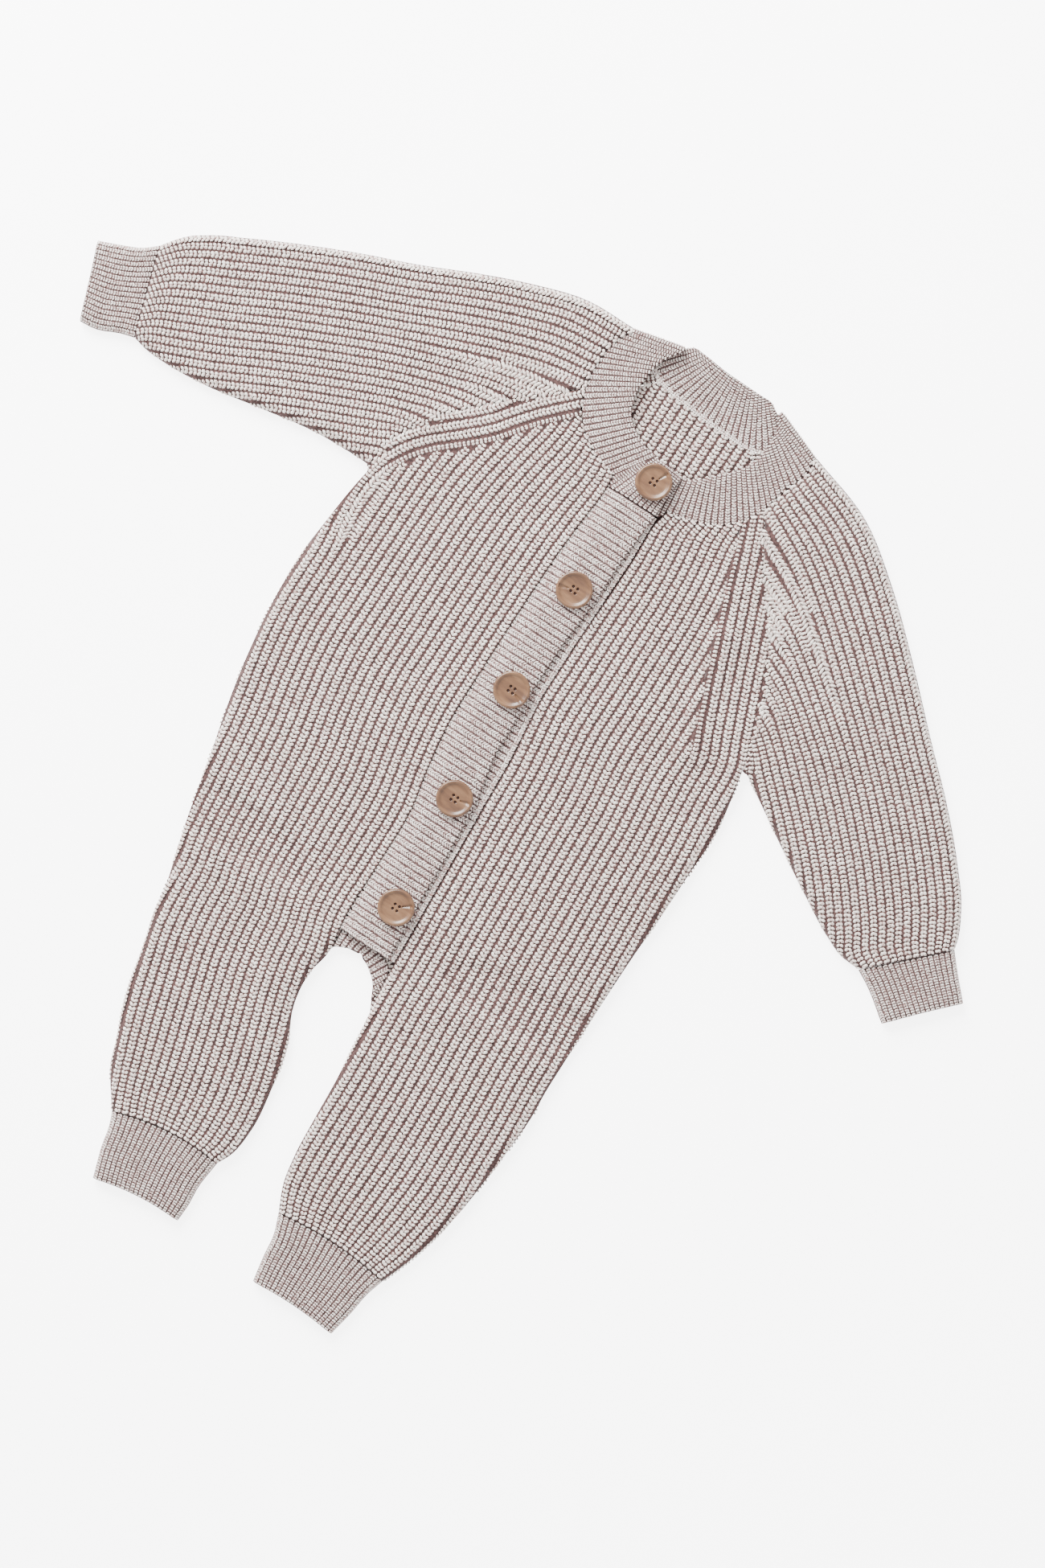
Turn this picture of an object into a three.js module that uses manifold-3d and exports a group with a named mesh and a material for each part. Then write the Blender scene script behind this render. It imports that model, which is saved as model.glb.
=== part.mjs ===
// Baby romper in thick ribbed knit, laid flat on its back, in millimetres with +Z up.
// +Y runs up the button band to the neck and +X points to the wearer's left.
// Each sewn piece is a wall of cloth: its ribs are raised in the outer points over a plain inside.

import * as THREE from 'three';
import { mergeVertices } from 'three/addons/utils/BufferGeometryUtils.js';
import Module from 'manifold-3d';

const wasm = await Module();
wasm.setup();

// Driving dimensions
const SEAM = 0.35;
const BACK_WALL = 2.2;
const FRONT_WALL = 2.4;
const EDGE_WALL = 1.2;
const FINE_WALL = 2.0;
const BODY_RIB = 1.0;
const FINE_RIB = 0.6;
const LAYER_LIFT = 0.9;
const LIFT_REACH = 10;
const ROLL_REACH = 6;
const TUBE_TOP = 5.8;
const TUBE_EDGE = 2.7;
const CUFF_TOP = 5.0;
const CUFF_EDGE = 2.4;
const TUBE_INSET = 2.2;
const FRONT_BASE = BACK_WALL + SEAM;
const BAND_LAP = 2.9;
const BUTTON_RADIUS = 10;
const BUTTON_THICK = 3.0;

// The middle of the garment's box, taken off so that the part stands on its origin
const PLACE = new THREE.Vector3(-22.4, -52.737, 0);

const KNIT = { color: 0xd8cfca, roughness: 0.95, metalness: 0 };
const FINE_KNIT = { color: 0xddd5d0, roughness: 0.95, metalness: 0 };
const HORN = { color: 0xc8a27c, roughness: 0.35, metalness: 0 };

// Turns rows of numbers into rows with named columns
function table(columns, rows) {
  const names = columns.split(' ');
  return rows.map((row) => Object.fromEntries(row.map((value, i) => [names[i], value])));
}

const BODY_COLUMNS = 'innerX innerY outerX outerY rib bow skip';

// Right front, from the ankle up to the underarm: both edges, the width of a rib, the bow of the row
// and how far outside the inner edge the ribs are counted from, where they lean out over it
const RIGHT_ROWS = table(BODY_COLUMNS, [
  [-5.3, -284, -68, -291, 3.9, 4, 9.7],
  [-1.2, -275, -79.5, -275, 4.5, 0, 10.4],
  [0.4, -258, -86.5, -258, 4.95, 0, 10.8],
  [-2.4, -236, -95.3, -236, 5.2, 0, 10.9],
  [-7.6, -212, -101, -212, 5.2, 0, 9.7],
  [-17, -191, -106.3, -191, 5.15, 0, 13.4],
  [-19.4, -172, -110, -172, 5.1, 0, 12.4],
  [-17.2, -156, -114.6, -156, 5.05, 0, 7.6],
  [-18.6, -142, -118.4, -142, 5.05, 0, 6.6],
  [-20, -105, -127, -105, 5.1, 0, 2.5],
  [-21.2, -68, -136, -68, 5.15, 0, 0],
  [-25.7, -45, -140.4, -45, 5.15, 0, 0],
  [-29.3, -20, -143.7, -20, 5.15, 0, 0],
  [-30.2, 20, -145.2, 20, 5.15, 0, 0],
]);

// Left front, likewise
const LEFT_ROWS = table(BODY_COLUMNS, [
  [36.5, -288, 103.4, -288.6, 3.85, 3, 5.1],
  [30.6, -275, 108.6, -275, 4.5, 0, 6.0],
  [27.1, -258, 113.6, -258, 4.95, 0, 6.6],
  [25.3, -236, 117.9, -236, 5.2, 0, 6.8],
  [23.8, -212, 120.3, -212, 5.2, 0, 5.8],
  [21.6, -191, 121.8, -191, 5.2, 0, 4.4],
  [19.2, -172, 122.5, -172, 5.2, 0, 3.2],
  [17, -156, 121.4, -156, 5.2, 0, 2.1],
  [16.2, -142, 121.2, -142, 5.2, 0, 2],
  [14.3, -105, 121, -105, 5.15, 0, 2],
  [12.2, -68, 121.3, -68, 5.15, 0, 1.7],
  [10.7, -45, 122, -45, 5.15, 0, 1.5],
  [9.5, -20, 122.3, -20, 5.15, 0, 1.5],
  [5, 20, 121.2, 20, 5.2, 0, 0],
]);

// Above the underarm a front lies between its button band, its fashioning line and its raglan seam.
// The inner ribs end at the fashioning line and the outer ones run on along the seam.
const RIGHT_BAND_EDGE = [[-30.2, 64], [-29.8, 90], [-28.6, 110], [-27.1, 130], [-28, 140]];
const RIGHT_FASHION = [[-130, 68], [-126, 82], [-117, 95], [-104, 107], [-90, 120], [-77, 137],
  [-59.6, 155.8]];
const RIGHT_RAGLAN = [[-139.6, 72], [-139.2, 90], [-128, 110], [-108, 133], [-88, 151], [-66.2, 170.2]];
const LEFT_BAND_EDGE = [[4.9, 36], [4.9, 66], [5.6, 90], [5.6, 112], [4.8, 128], [6.6, 138.3]];
const LEFT_FASHION = [[87, 38], [78, 60], [69, 83], [61, 104], [53, 126], [43.4, 155.4]];
const LEFT_RAGLAN = [[115.6, 47], [112, 64], [104, 88], [88, 115], [65, 145], [50.4, 167.4]];
const RAGLAN_ROWS = 10;
const NECK_RIB = 4.25;

// Ribs of a front inside its fashioning line, in all, and the width of one along a row of the strip
const RIGHT_FRONT = { side: -1, inner: 19, all: 23, strip: 5.4 };
const LEFT_FRONT = { side: 1, inner: 16, all: 22, strip: 5.2 };

// The neckband folds over to the back at each shoulder: the ends of the fold's edge on the outline
const NECK_RIGHT_FOLD = { seam: [-62, 213.4], free: [-33, 219.4] };
const NECK_LEFT_FOLD = { seam: [58.8, 208.2], free: [29.4, 218.6] };

// Seams and free edges of the neckband round its front layer and its back layer, fold to button
const NECK_RIGHT_SEAM = [[-65.6, 202], [-67.7, 188], [-66.4, 174.5], [-61, 160.6], [-51.5, 150], [-39, 143.2],
  [-27.6, 140.4]];
const NECK_RIGHT_FREE = [[-38.8, 206], [-41.7, 193], [-41, 181], [-37.4, 172.3], [-30, 166], [-21, 162],
  [-14.5, 160.6]];
const NECK_LEFT_SEAM = [[58.6, 198], [54, 184], [49.8, 167.2], [43, 156], [33, 147.6], [19, 141.8],
  [6.1, 138.9]];
const NECK_LEFT_FREE = [[32.4, 207], [33, 198], [31, 187], [26, 178], [19, 171], [11.4, 162.6], [4, 159]];
const NECK_BACK_SEAM = [[44, 199.4], [27.4, 192.4], [10, 191.8], [-10, 193], [-34, 196.4], [-47, 203]];
const NECK_BACK_FREE = [[22, 219.4], [15, 219.6], [6, 219.8], [-8, 220.2], [-22, 221.6], [-29, 221.4]];
const NECK_RIBS = { front: 22, back: 24, end: 9 };

// The end of the neckband that lies hidden under the button
const NECK_END = { seamY: 134.2, freeY: 159, seamX: [-20, 4.4], freeX: [-20, 1] };

// Raglan seams of the back, from the neckband to the underarm
const BACK_RIGHT_RAGLAN = [[-34.2, 196], [-62, 170], [-92, 141], [-116, 116], [-132, 94], [-139.6, 72]];
const BACK_LEFT_RAGLAN = [[27.2, 191.6], [50, 164], [76, 131], [96, 101], [109, 72], [115.6, 47]];

const TUBE_COLUMNS = 'topX topY underX underY rib';

// Sleeves from the underarm to the cuff line: the row's upper and under edge and the width of a rib
const RIGHT_SLEEVE_ROWS = table(TUBE_COLUMNS, [
  [-172, 180.5, -142.5, 73.8, 4.6],
  [-205, 167, -173, 73, 4.6],
  [-237, 152.6, -206, 67.6, 4.6],
  [-262, 140, -237, 61.9, 4.6],
  [-280, 130.2, -262, 60, 4.5],
  [-291, 121.6, -276, 60.8, 4.25],
  [-298.4, 112, -283, 62.6, 3.9],
]);
const LEFT_SLEEVE_ROWS = table(TUBE_COLUMNS, [
  [190.5, 115.6, 121, 44, 4.6],
  [216, 91.8, 150, 26, 4.6],
  [239.4, 67, 180, 8, 4.6],
  [255, 47, 203, -4.6, 4.6],
  [262, 33.4, 216, -9.4, 4.4],
  [263.6, 27.2, 226, -9.8, 3.9],
]);

// Upper edge of a sleeve between the neckband and the underarm row, and the rib that meets each
// point of the raglan seam, counted from the upper edge
const RIGHT_SHOULDER = [[-80, 213.4], [-110, 206.2], [-140, 195], [-172, 180.5]];
const LEFT_SHOULDER = [[82, 201.4], [110, 187], [150, 154], [190.5, 115.6]];
const RIGHT_SEAM_RIBS = [9.5, 10.5, 12, 13, 14.5, 16, 17.5, 20, 22, 24.5];
const LEFT_SEAM_RIBS = [9.5, 10, 11, 12, 13, 14.5, 16.5, 18, 20.5, 23.5];
const SLEEVE_RIBS = 25;
const NECK_SIDE_RIBS = 9;
const SHOULDER_STEPS = 3;

// Cuffs from the seam to the hem
const RIGHT_CUFF_ROWS = table('topX topY underX underY bow', [
  [-298.7, 111.6, -283.3, 62.5, 0],
  [-305, 106, -291, 60.3, 0],
  [-314, 101.4, -302, 55.4, 0],
  [-328, 95.6, -312.6, 54, 0.8],
]);
const LEFT_CUFF_ROWS = table('topX topY underX underY bow', [
  [263.8, 26.8, 226.3, -10.2, 0],
  [270, 19.6, 235, -15, 0],
  [283.2, 5.4, 252.4, -27.6, 0.6],
]);
const RIGHT_ANKLE_ROWS = table('topX topY underX underY bow', [
  [-68, -291.35, -5.3, -284.35, 4],
  [-64.6, -300, -6.8, -300, 1],
  [-62.2, -311, -6, -311, 0],
  [-57, -327, -6.4, -321.4, 2.4],
]);
const LEFT_ANKLE_ROWS = table('topX topY underX underY bow', [
  [36.5, -288.35, 103.4, -288.95, 3],
  [40.8, -300, 100.2, -300, 1],
  [42.4, -312, 98.6, -312, 0],
  [45, -326.6, 95.6, -327.4, 1.6],
]);
const CUFF_WALL = 1.8;
const CUFF_UNDER_POINTS = 5;
const SLEEVE_CUFF_RIBS = 17;
const ANKLE_CUFF_RIBS = 20;

// Button band from its foot at the crotch to the neckband: both edges and the free edge of the band below
const BAND_ROWS = table('y left right under', [
  [-142.5, -18.3, 11.8, 15.9],
  [-105, -19.6, 9.2, 13.9],
  [-68, -20.8, 7.6, 11.8],
  [-45, -25.3, 5.4, 10.3],
  [-20, -28.9, 0.2, 9.1],
  [0, -29.3, -0.3, 6.9],
  [20, -29.8, -1.6, 4.6],
  [50, -29.8, -1.4, 4.5],
  [80, -29.5, 0.6, 4.8],
  [105, -28.5, 0.6, 5.2],
  [128, -26.8, 2.4, 4.3],
  [133.4, -26.9, 2.8, 4.3],
]);
const BAND_RIBS = 70;
const UNDER_BAND_LEFT = 9.5;

// Front edge of the crotch from the right leg to the left, and the depth of its narrow band
const CROTCH_ARCH = [[-16.8, -153], [-10, -149.6], [-2, -148.1], [5, -152], [11.6, -157.6], [16.2, -166]];
const CROTCH_TOP = [[-17.6, -145], [-10, -144.2], [-2, -143.2], [7, -145], [15.2, -149], [17, -162]];

// Middles of the buttons, and the way that each one's groove points, in degrees from +X
const BUTTONS = table('x y groove', [
  [-7.8, 148.2, 62],
  [-12, 77, 195],
  [-11, 14.2, -20],
  [-5, -51, 12],
  [0.5, -116.6, 38],
]);
const NECK_BUTTON_LIFT = 0.65;

// Soft folds that lift or sink the front layer: the ends, half width and height of each
const FOLDS = table('x1 y1 x2 y2 reach height', [
  [56, 142, 70, 98, 9, 1.5],
  [70, 98, 87, 40, 8, 2],
  [96, 102, 114, 58, 6, -0.8],
  [-122, 118, -146, 84, 9, 0.9],
  [-40, -188, -22, -216, 8, 1.4],
  [-136, 30, -138, -60, 8, 0.6],
  [-206, 84, -176, 80, 6, 0.8],
  [124, 96, 150, 78, 9, 0.8],
]);

const point = (x, y, z = 0) => new THREE.Vector3(x, y, z);
const flatDistance = (a, b) => Math.hypot(a.x - b.x, a.y - b.y);
const mix = (a, b, t) => a.clone().lerp(b, t);

// Evenly spaced points on a smooth curve through a few
function along(list, steps) {
  const curve = new THREE.CatmullRomCurve3(list.map(([x, y]) => point(x, y)), false, 'centripetal');
  return curve.getSpacedPoints(steps);
}

// Height that the soft folds add at a place
function foldHeight(p) {
  let height = 0;
  for (const fold of FOLDS) {
    const [dx, dy] = [fold.x2 - fold.x1, fold.y2 - fold.y1];
    const share = ((p.x - fold.x1) * dx + (p.y - fold.y1) * dy) / (dx * dx + dy * dy);
    const t = THREE.MathUtils.clamp(share, 0, 1);
    const away = Math.hypot(p.x - fold.x1 - t * dx, p.y - fold.y1 - t * dy) / fold.reach;
    height += fold.height * Math.exp(-away * away);
  }
  return height;
}

// Share of the full height at a distance from a rolled edge
function roll(distance) {
  const rest = 1 - THREE.MathUtils.clamp(distance / ROLL_REACH, 0, 1);
  return Math.sqrt(1 - rest * rest);
}

// Collects triangles by the place of their corners and leaves out those with no area
class Surface {
  constructor() {
    this.places = [];
    this.keys = new Map();
    this.index = [];
  }

  corner(p) {
    const key = [p.x, p.y, p.z].map((v) => Math.round(v * 1000)).join(' ');
    if (!this.keys.has(key)) {
      this.keys.set(key, this.places.length / 3);
      this.places.push(p.x, p.y, p.z);
    }
    return this.keys.get(key);
  }

  triangle(a, b, c) {
    const [i, j, k] = [this.corner(a), this.corner(b), this.corner(c)];
    if (i !== j && j !== k && k !== i) this.index.push(i, j, k);
  }

  grid(rows, flip = false) {
    for (let i = 0; i + 1 < rows.length; i++) {
      for (let j = 0; j + 1 < rows[i].length; j++) {
        const [a, b, c, d] = [rows[i][j], rows[i + 1][j], rows[i + 1][j + 1], rows[i][j + 1]];
        if (flip) {
          this.triangle(a, c, b);
          this.triangle(a, d, c);
        } else {
          this.triangle(a, b, c);
          this.triangle(a, c, d);
        }
      }
    }
  }

  // Joins two lines of points that run the same way, whatever their counts
  strip(outer, inner) {
    const [so, si] = [shares(outer), shares(inner)];
    let [i, j] = [0, 0];
    while (i + 1 < outer.length || j + 1 < inner.length) {
      const takeOuter = j + 1 >= inner.length || (i + 1 < outer.length && so[i + 1] <= si[j + 1]);
      if (takeOuter) {
        this.triangle(outer[i], outer[i + 1], inner[j]);
        i++;
      } else {
        this.triangle(inner[j + 1], inner[j], outer[i]);
        j++;
      }
    }
  }

  geometry() {
    const geometry = new THREE.BufferGeometry();
    geometry.setAttribute('position', new THREE.BufferAttribute(new Float32Array(this.places), 3));
    geometry.setIndex(this.index);
    if (signedVolume(this.places, this.index) < 0) {
      for (let i = 0; i < this.index.length; i += 3) {
        [this.index[i + 1], this.index[i + 2]] = [this.index[i + 2], this.index[i + 1]];
      }
      geometry.setIndex(this.index);
    }
    return geometry;
  }
}

// Share of a line's flat length that lies before each of its points
function shares(line) {
  const out = [0];
  for (let i = 1; i < line.length; i++) out.push(out[i - 1] + flatDistance(line[i - 1], line[i]) + 1e-6);
  return out.map((s) => s / out[out.length - 1]);
}

function signedVolume(places, index) {
  let volume = 0;
  const [a, b, c] = [point(0, 0), point(0, 0), point(0, 0)];
  for (let i = 0; i < index.length; i += 3) {
    a.fromArray(places, 3 * index[i]);
    b.fromArray(places, 3 * index[i + 1]);
    c.fromArray(places, 3 * index[i + 2]);
    volume += a.dot(b.cross(c));
  }
  return volume;
}

const column = (rows, j) => rows.map((row) => row[j]);
const backwards = (line) => [...line].reverse();

// A wall between two open grids
function openWall(outer, inner) {
  const surface = new Surface();
  surface.grid(outer);
  surface.grid(inner, true);
  const last = [outer.length - 1, inner.length - 1];
  const edge = [outer[0].length - 1, inner[0].length - 1];
  surface.strip(outer[0], inner[0]);
  surface.strip(backwards(outer[last[0]]), backwards(inner[last[1]]));
  surface.strip(backwards(column(outer, 0)), backwards(column(inner, 0)));
  surface.strip(column(outer, edge[0]), column(inner, edge[1]));
  return surface.geometry();
}

// A tube between two grids whose rows close on themselves, its underside last in each row
function tubeWall(outer, inner, underCount) {
  const close = (rows) => rows.map((row) => [...row, row[0]]);
  const surface = new Surface();
  surface.grid(close(outer));
  surface.grid(close(inner), true);
  rimParts(outer[0], inner[0], underCount).forEach(([a, b]) => surface.strip(a, b));
  const end = rimParts(outer[outer.length - 1], inner[inner.length - 1], underCount);
  end.forEach(([a, b]) => surface.strip(backwards(a), backwards(b)));
  return surface.geometry();
}

// The matching stretches of two rings: the upper side, a corner, the underside and a corner
function rimParts(outer, inner, underCount) {
  const [a, b] = [outer.length - underCount, inner.length - underCount + 2];
  return [
    [outer.slice(0, a), inner.slice(0, b)],
    [outer.slice(a - 1, a + 2), inner.slice(b - 1, b + 1)],
    [outer.slice(a + 1, -1), inner.slice(b)],
    [[...outer.slice(-2), outer[0]], [inner[inner.length - 1], inner[0]]],
  ];
}

// Points at a share of a straight row, with its bow
function onRow(row, t) {
  const x = THREE.MathUtils.lerp(row.innerX, row.outerX, t);
  const y = THREE.MathUtils.lerp(row.innerY, row.outerY, t) + row.bow * 4 * t * (1 - t);
  return point(x, y);
}

// One row of a front below the underarm, a point at each half rib, held on the edges past its ends
function lowerRow(row, front) {
  const width = Math.hypot(row.outerX - row.innerX, row.outerY - row.innerY);
  const points = [];
  for (let half = 0; half <= 2 * front.all; half++) {
    let reach = half / 2 * row.rib - row.skip;
    if (reach < 0.25 * row.rib) reach = 0;
    if (reach > width - 0.25 * row.rib || half === 2 * front.all) reach = width;
    const crest = reach > 0 ? half % 2 : 0;
    points.push({ at: onRow(row, reach / width), crest, outer: width - reach, inner: reach });
  }
  return points;
}

// One row of a front above it, from the band to the fashioning line and on to the raglan seam
function upperRow(bandPoint, fashionPoint, seamPoint, front, pitch, line) {
  const points = [];
  const span = Math.abs(fashionPoint.x - bandPoint.x);
  for (let half = 0; half <= 2 * front.inner; half++) {
    const reach = half / 2 * pitch;
    const t = reach > span - 0.25 * pitch || half === 2 * front.inner ? 1 : reach / span;
    points.push({ at: line(t), crest: t < 1 ? half % 2 : 0, outer: ROLL_REACH, inner: ROLL_REACH });
  }
  const strip = flatDistance(fashionPoint, seamPoint);
  for (let half = 1; half <= 2 * (front.all - front.inner); half++) {
    const reach = half / 2 * front.strip;
    const ends = reach > strip - 0.25 * front.strip || half === 2 * (front.all - front.inner);
    const t = ends ? 1 : reach / strip;
    const at = mix(fashionPoint, seamPoint, t);
    points.push({ at, crest: t < 1 ? half % 2 : 0, outer: ROLL_REACH, inner: ROLL_REACH });
  }
  return points;
}

// Underside of a front: it lies on the back at its rolled edges and lifts a little between them
function underHeight(p, outer, inner) {
  const lift = LAYER_LIFT * (1 - Math.exp(-Math.min(outer, inner) / LIFT_REACH * 3));
  return FRONT_BASE + Math.max(0, lift + foldHeight(p) * roll(outer));
}

function frontPanel(rows, front, { bandEdge, fashionLine, raglan }, neckSeam) {
  const planned = [];
  rows.forEach((row) => {
    const open = row.innerY < -150;
    const points = lowerRow(row, front);
    if (!open) points.forEach((p) => { p.inner = ROLL_REACH; });
    planned.push(points);
  });
  const band = along(bandEdge, RAGLAN_ROWS);
  const fashion = along(fashionLine, RAGLAN_ROWS);
  const seam = along(raglan, RAGLAN_ROWS);
  const firstPitch = rows[rows.length - 1].rib;
  for (let i = 0; i <= RAGLAN_ROWS; i++) {
    const t = i / RAGLAN_ROWS;
    const pitch = THREE.MathUtils.lerp(firstPitch, NECK_RIB, t * t);
    const isNeck = i === RAGLAN_ROWS;
    const line = isNeck ? (s) => neckSeam(s) : (s) => mix(band[i], fashion[i], s);
    planned.push(upperRow(band[i], fashion[i], seam[i], front, pitch, line));
  }
  const topHeight = (p) => {
    const under = underHeight(p.at, p.outer, p.inner);
    const share = Math.min(roll(p.outer), roll(p.inner));
    return under + EDGE_WALL + (FRONT_WALL - EDGE_WALL + (p.crest ? BODY_RIB : 0)) * share;
  };
  const outer = planned.map((row) => row.map((p) => point(p.at.x, p.at.y, topHeight(p))));
  const inner = planned.map((row, i) => {
    const back = i === planned.length - 1 ? SEAM : 0;
    const picks = INSIDE_SHARES.map((share) => pick(row, share));
    return picks.map((p) => point(p.at.x, p.at.y - back, underHeight(p.at, p.outer, p.inner)));
  });
  return openWall(outer, inner);
}

// A plain inside has a few columns, taken at shares of the row's length
const INSIDE_SHARES = [0, 0.06, 0.2, 0.36, 0.52, 0.68, 0.84, 0.96, 1];

function pick(row, share) {
  const places = shares(row.map((p) => p.at));
  let i = 1;
  while (i < places.length - 1 && places[i] < share) i++;
  const t = THREE.MathUtils.clamp((share - places[i - 1]) / (places[i] - places[i - 1]), 0, 1);
  const [a, b] = [row[i - 1], row[i]];
  return {
    at: mix(a.at, b.at, t),
    outer: THREE.MathUtils.lerp(a.outer, b.outer, t),
    inner: THREE.MathUtils.lerp(a.inner, b.inner, t),
  };
}

// The neck edge of a front follows the neckband's seam, one clearance away from it
function neckEdge(seamLine, from, to, side) {
  const isBetween = (p) => side * (p.x - from.x) > 0.5 && side * (to.x - p.x) > 0.5 && p.y < to.y;
  const between = seamLine.filter(isBetween);
  between.sort((a, b) => side * (a.x - b.x));
  const path = [from, ...between.map((p) => point(p.x, p.y - 1.3 * SEAM)), to];
  return (t) => {
    const x = THREE.MathUtils.lerp(from.x, to.x, t);
    let i = 1;
    while (i < path.length - 1 && side * (x - path[i].x) > 0) i++;
    const [a, b] = [path[i - 1], path[i]];
    return mix(a, b, THREE.MathUtils.clamp((x - a.x) / (b.x - a.x), 0, 1));
  };
}

// A line moved to its left, or to its right where the distance is negative
function offset(line, distance) {
  return line.map((p, i) => {
    const [a, b] = [line[Math.max(i - 1, 0)], line[Math.min(i + 1, line.length - 1)]];
    const length = flatDistance(a, b);
    return point(p.x - (b.y - a.y) / length * distance, p.y + (b.x - a.x) / length * distance);
  });
}

// The back is one flat panel of two legs and a body, joined along its middle line
const BACK_LEVELS = [-142, -105, -68, -45, -20, 20];
const BACK_RAGLAN_ROWS = 6;
const BACK_MIDDLE = -2;
const BACK_COLUMNS = [0, 0.17, 0.33, 0.5, 0.67, 0.83, 1];

function backHalf(rows, arch, raglan, neckPoints) {
  const legs = rows.filter((row) => row.innerY < -165);
  const lines = legs.map((row) => BACK_COLUMNS.map((t) => onRow(row, t)));
  arch.forEach((p) => lines.push(BACK_COLUMNS.map((t) => mix(p, sideAt(rows, p.y), t))));
  BACK_LEVELS.forEach((y, i) => {
    const level = rows[rows.length - BACK_LEVELS.length + i];
    const side = point(level.outerX, level.outerY);
    lines.push(BACK_COLUMNS.map((t) => mix(point(BACK_MIDDLE, y), side, t)));
  });
  const seam = backwards(along(raglan, BACK_RAGLAN_ROWS));
  seam.forEach((side, i) => {
    const t = i / BACK_RAGLAN_ROWS;
    const middle = neckPoints[0].clone();
    middle.x = BACK_MIDDLE;
    middle.y = THREE.MathUtils.lerp(BACK_LEVELS[BACK_LEVELS.length - 1] + 12, neckPoints[0].y, t);
    if (i < BACK_RAGLAN_ROWS) lines.push(BACK_COLUMNS.map((s) => mix(middle, side, s)));
    else lines.push(neckPoints);
  });
  return lines;
}

// Outer edge of a front at a height, between its rows
function sideAt(rows, y) {
  let i = 1;
  while (i < rows.length - 1 && rows[i].outerY < y) i++;
  const [a, b] = [rows[i - 1], rows[i]];
  return point(THREE.MathUtils.lerp(a.outerX, b.outerX, (y - a.outerY) / (b.outerY - a.outerY)), y);
}

// A slab of even thickness over flat grids that share their edges
function slab(grids, bottom, top) {
  const flat = new Surface();
  grids.forEach(({ lines, flip }) => flat.grid(lines, flip));
  const surface = new Surface();
  const at = (i, z) => point(flat.places[3 * i], flat.places[3 * i + 1], z);
  const used = new Map();
  for (let i = 0; i < flat.index.length; i += 3) {
    const [a, b, c] = flat.index.slice(i, i + 3);
    surface.triangle(at(a, top), at(b, top), at(c, top));
    surface.triangle(at(a, bottom), at(c, bottom), at(b, bottom));
    for (const [p, q] of [[a, b], [b, c], [c, a]]) used.set(`${p} ${q}`, [p, q]);
  }
  for (const [p, q] of used.values()) {
    if (used.has(`${q} ${p}`)) continue;
    surface.triangle(at(q, top), at(p, top), at(p, bottom));
    surface.triangle(at(q, top), at(p, bottom), at(q, bottom));
  }
  return surface.geometry();
}

// Rings of a flattened tube. Each row gives its upper side with a point at each half rib and its
// underside with a few points, and both run between the same two rounded edges.
const INNER_STEP = 4;

function tubeRings(sections, shape) {
  const outer = [];
  const inner = [];
  for (const { top, under, recess } of sections) {
    const [start, end] = [top[0].at, top[top.length - 1].at];
    const reachOf = (p) => Math.min(flatDistance(p, start), flatDistance(p, end));
    const outerRing = [point(start.x, start.y, shape.edge)];
    for (const p of top.slice(1, -1)) {
      const reach = reachOf(p.at);
      const rise = (shape.top - shape.edge + (p.crest ? shape.rib : 0)) * roll(reach);
      outerRing.push(point(p.at.x, p.at.y, shape.edge + rise + tubeFold(p.at) * roll(reach)));
    }
    outerRing.push(point(end.x, end.y, shape.edge));

    const last = under.length - 1;
    const below = under.map((p) => p.clone());
    below[0] = mix(under[0], under[1], TUBE_INSET / flatDistance(under[0], under[1]));
    below[last] = mix(under[last], under[last - 1], TUBE_INSET / flatDistance(under[last], under[last - 1]));
    below.forEach((p) => outerRing.push(point(p.x, p.y, 0)));
    outer.push(outerRing);

    const innerRing = [];
    const [first, final] = [insetPoint(top, false), insetPoint(top, true)];
    innerRing.push(point(first.x, first.y, shape.edge));
    for (let i = INNER_STEP; i < top.length - 1; i += INNER_STEP) {
      let p = top[i].at;
      if (flatDistance(p, end) < TUBE_INSET) p = final;
      const rise = (shape.top - shape.wall - shape.edge + tubeFold(p)) * roll(reachOf(p) - TUBE_INSET);
      innerRing.push(point(p.x, p.y, shape.edge + rise));
    }
    innerRing.push(point(final.x, final.y, shape.edge));
    if (recess) innerRing.forEach((p) => p.add(recess));
    const floor = under.slice(1, -1).map((p) => point(p.x, p.y, shape.floor));
    innerRing.push(...floor);
    inner.push(innerRing);
  }
  return tubeWall(outer, inner, sections[0].under.length);
}

const tubeFold = (p) => Math.max(foldHeight(p), -0.4);

// The place on a row at the tube's inset from its first or last point
function insetPoint(top, fromEnd) {
  const line = fromEnd ? backwards(top) : top;
  const next = line.find((p) => flatDistance(p.at, line[0].at) > TUBE_INSET);
  return mix(line[0].at, next.at, TUBE_INSET / flatDistance(line[0].at, next.at));
}

// One straight row of a tube; ribs past its under edge stay on that edge
function tubeRow(row, ribs, pitch, underCount) {
  const start = point(row.topX, row.topY);
  const end = point(row.underX, row.underY);
  const width = flatDistance(start, end);
  const bow = row.bow || 0;
  const top = [];
  for (let half = 0; half <= 2 * ribs; half++) {
    const reach = half / 2 * pitch;
    const t = reach > width - 0.25 * pitch || half === 2 * ribs ? 1 : reach / width;
    const at = mix(start, end, t);
    at.y += bow * 4 * t * (1 - t);
    top.push({ at, crest: t < 1 ? half % 2 : 0 });
  }
  const under = Array.from({ length: underCount }, (_, i) => {
    const t = 1 - i / (underCount - 1);
    return mix(start, end, t).add(point(0, bow * 4 * t * (1 - t)));
  });
  return { top, under };
}

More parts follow.
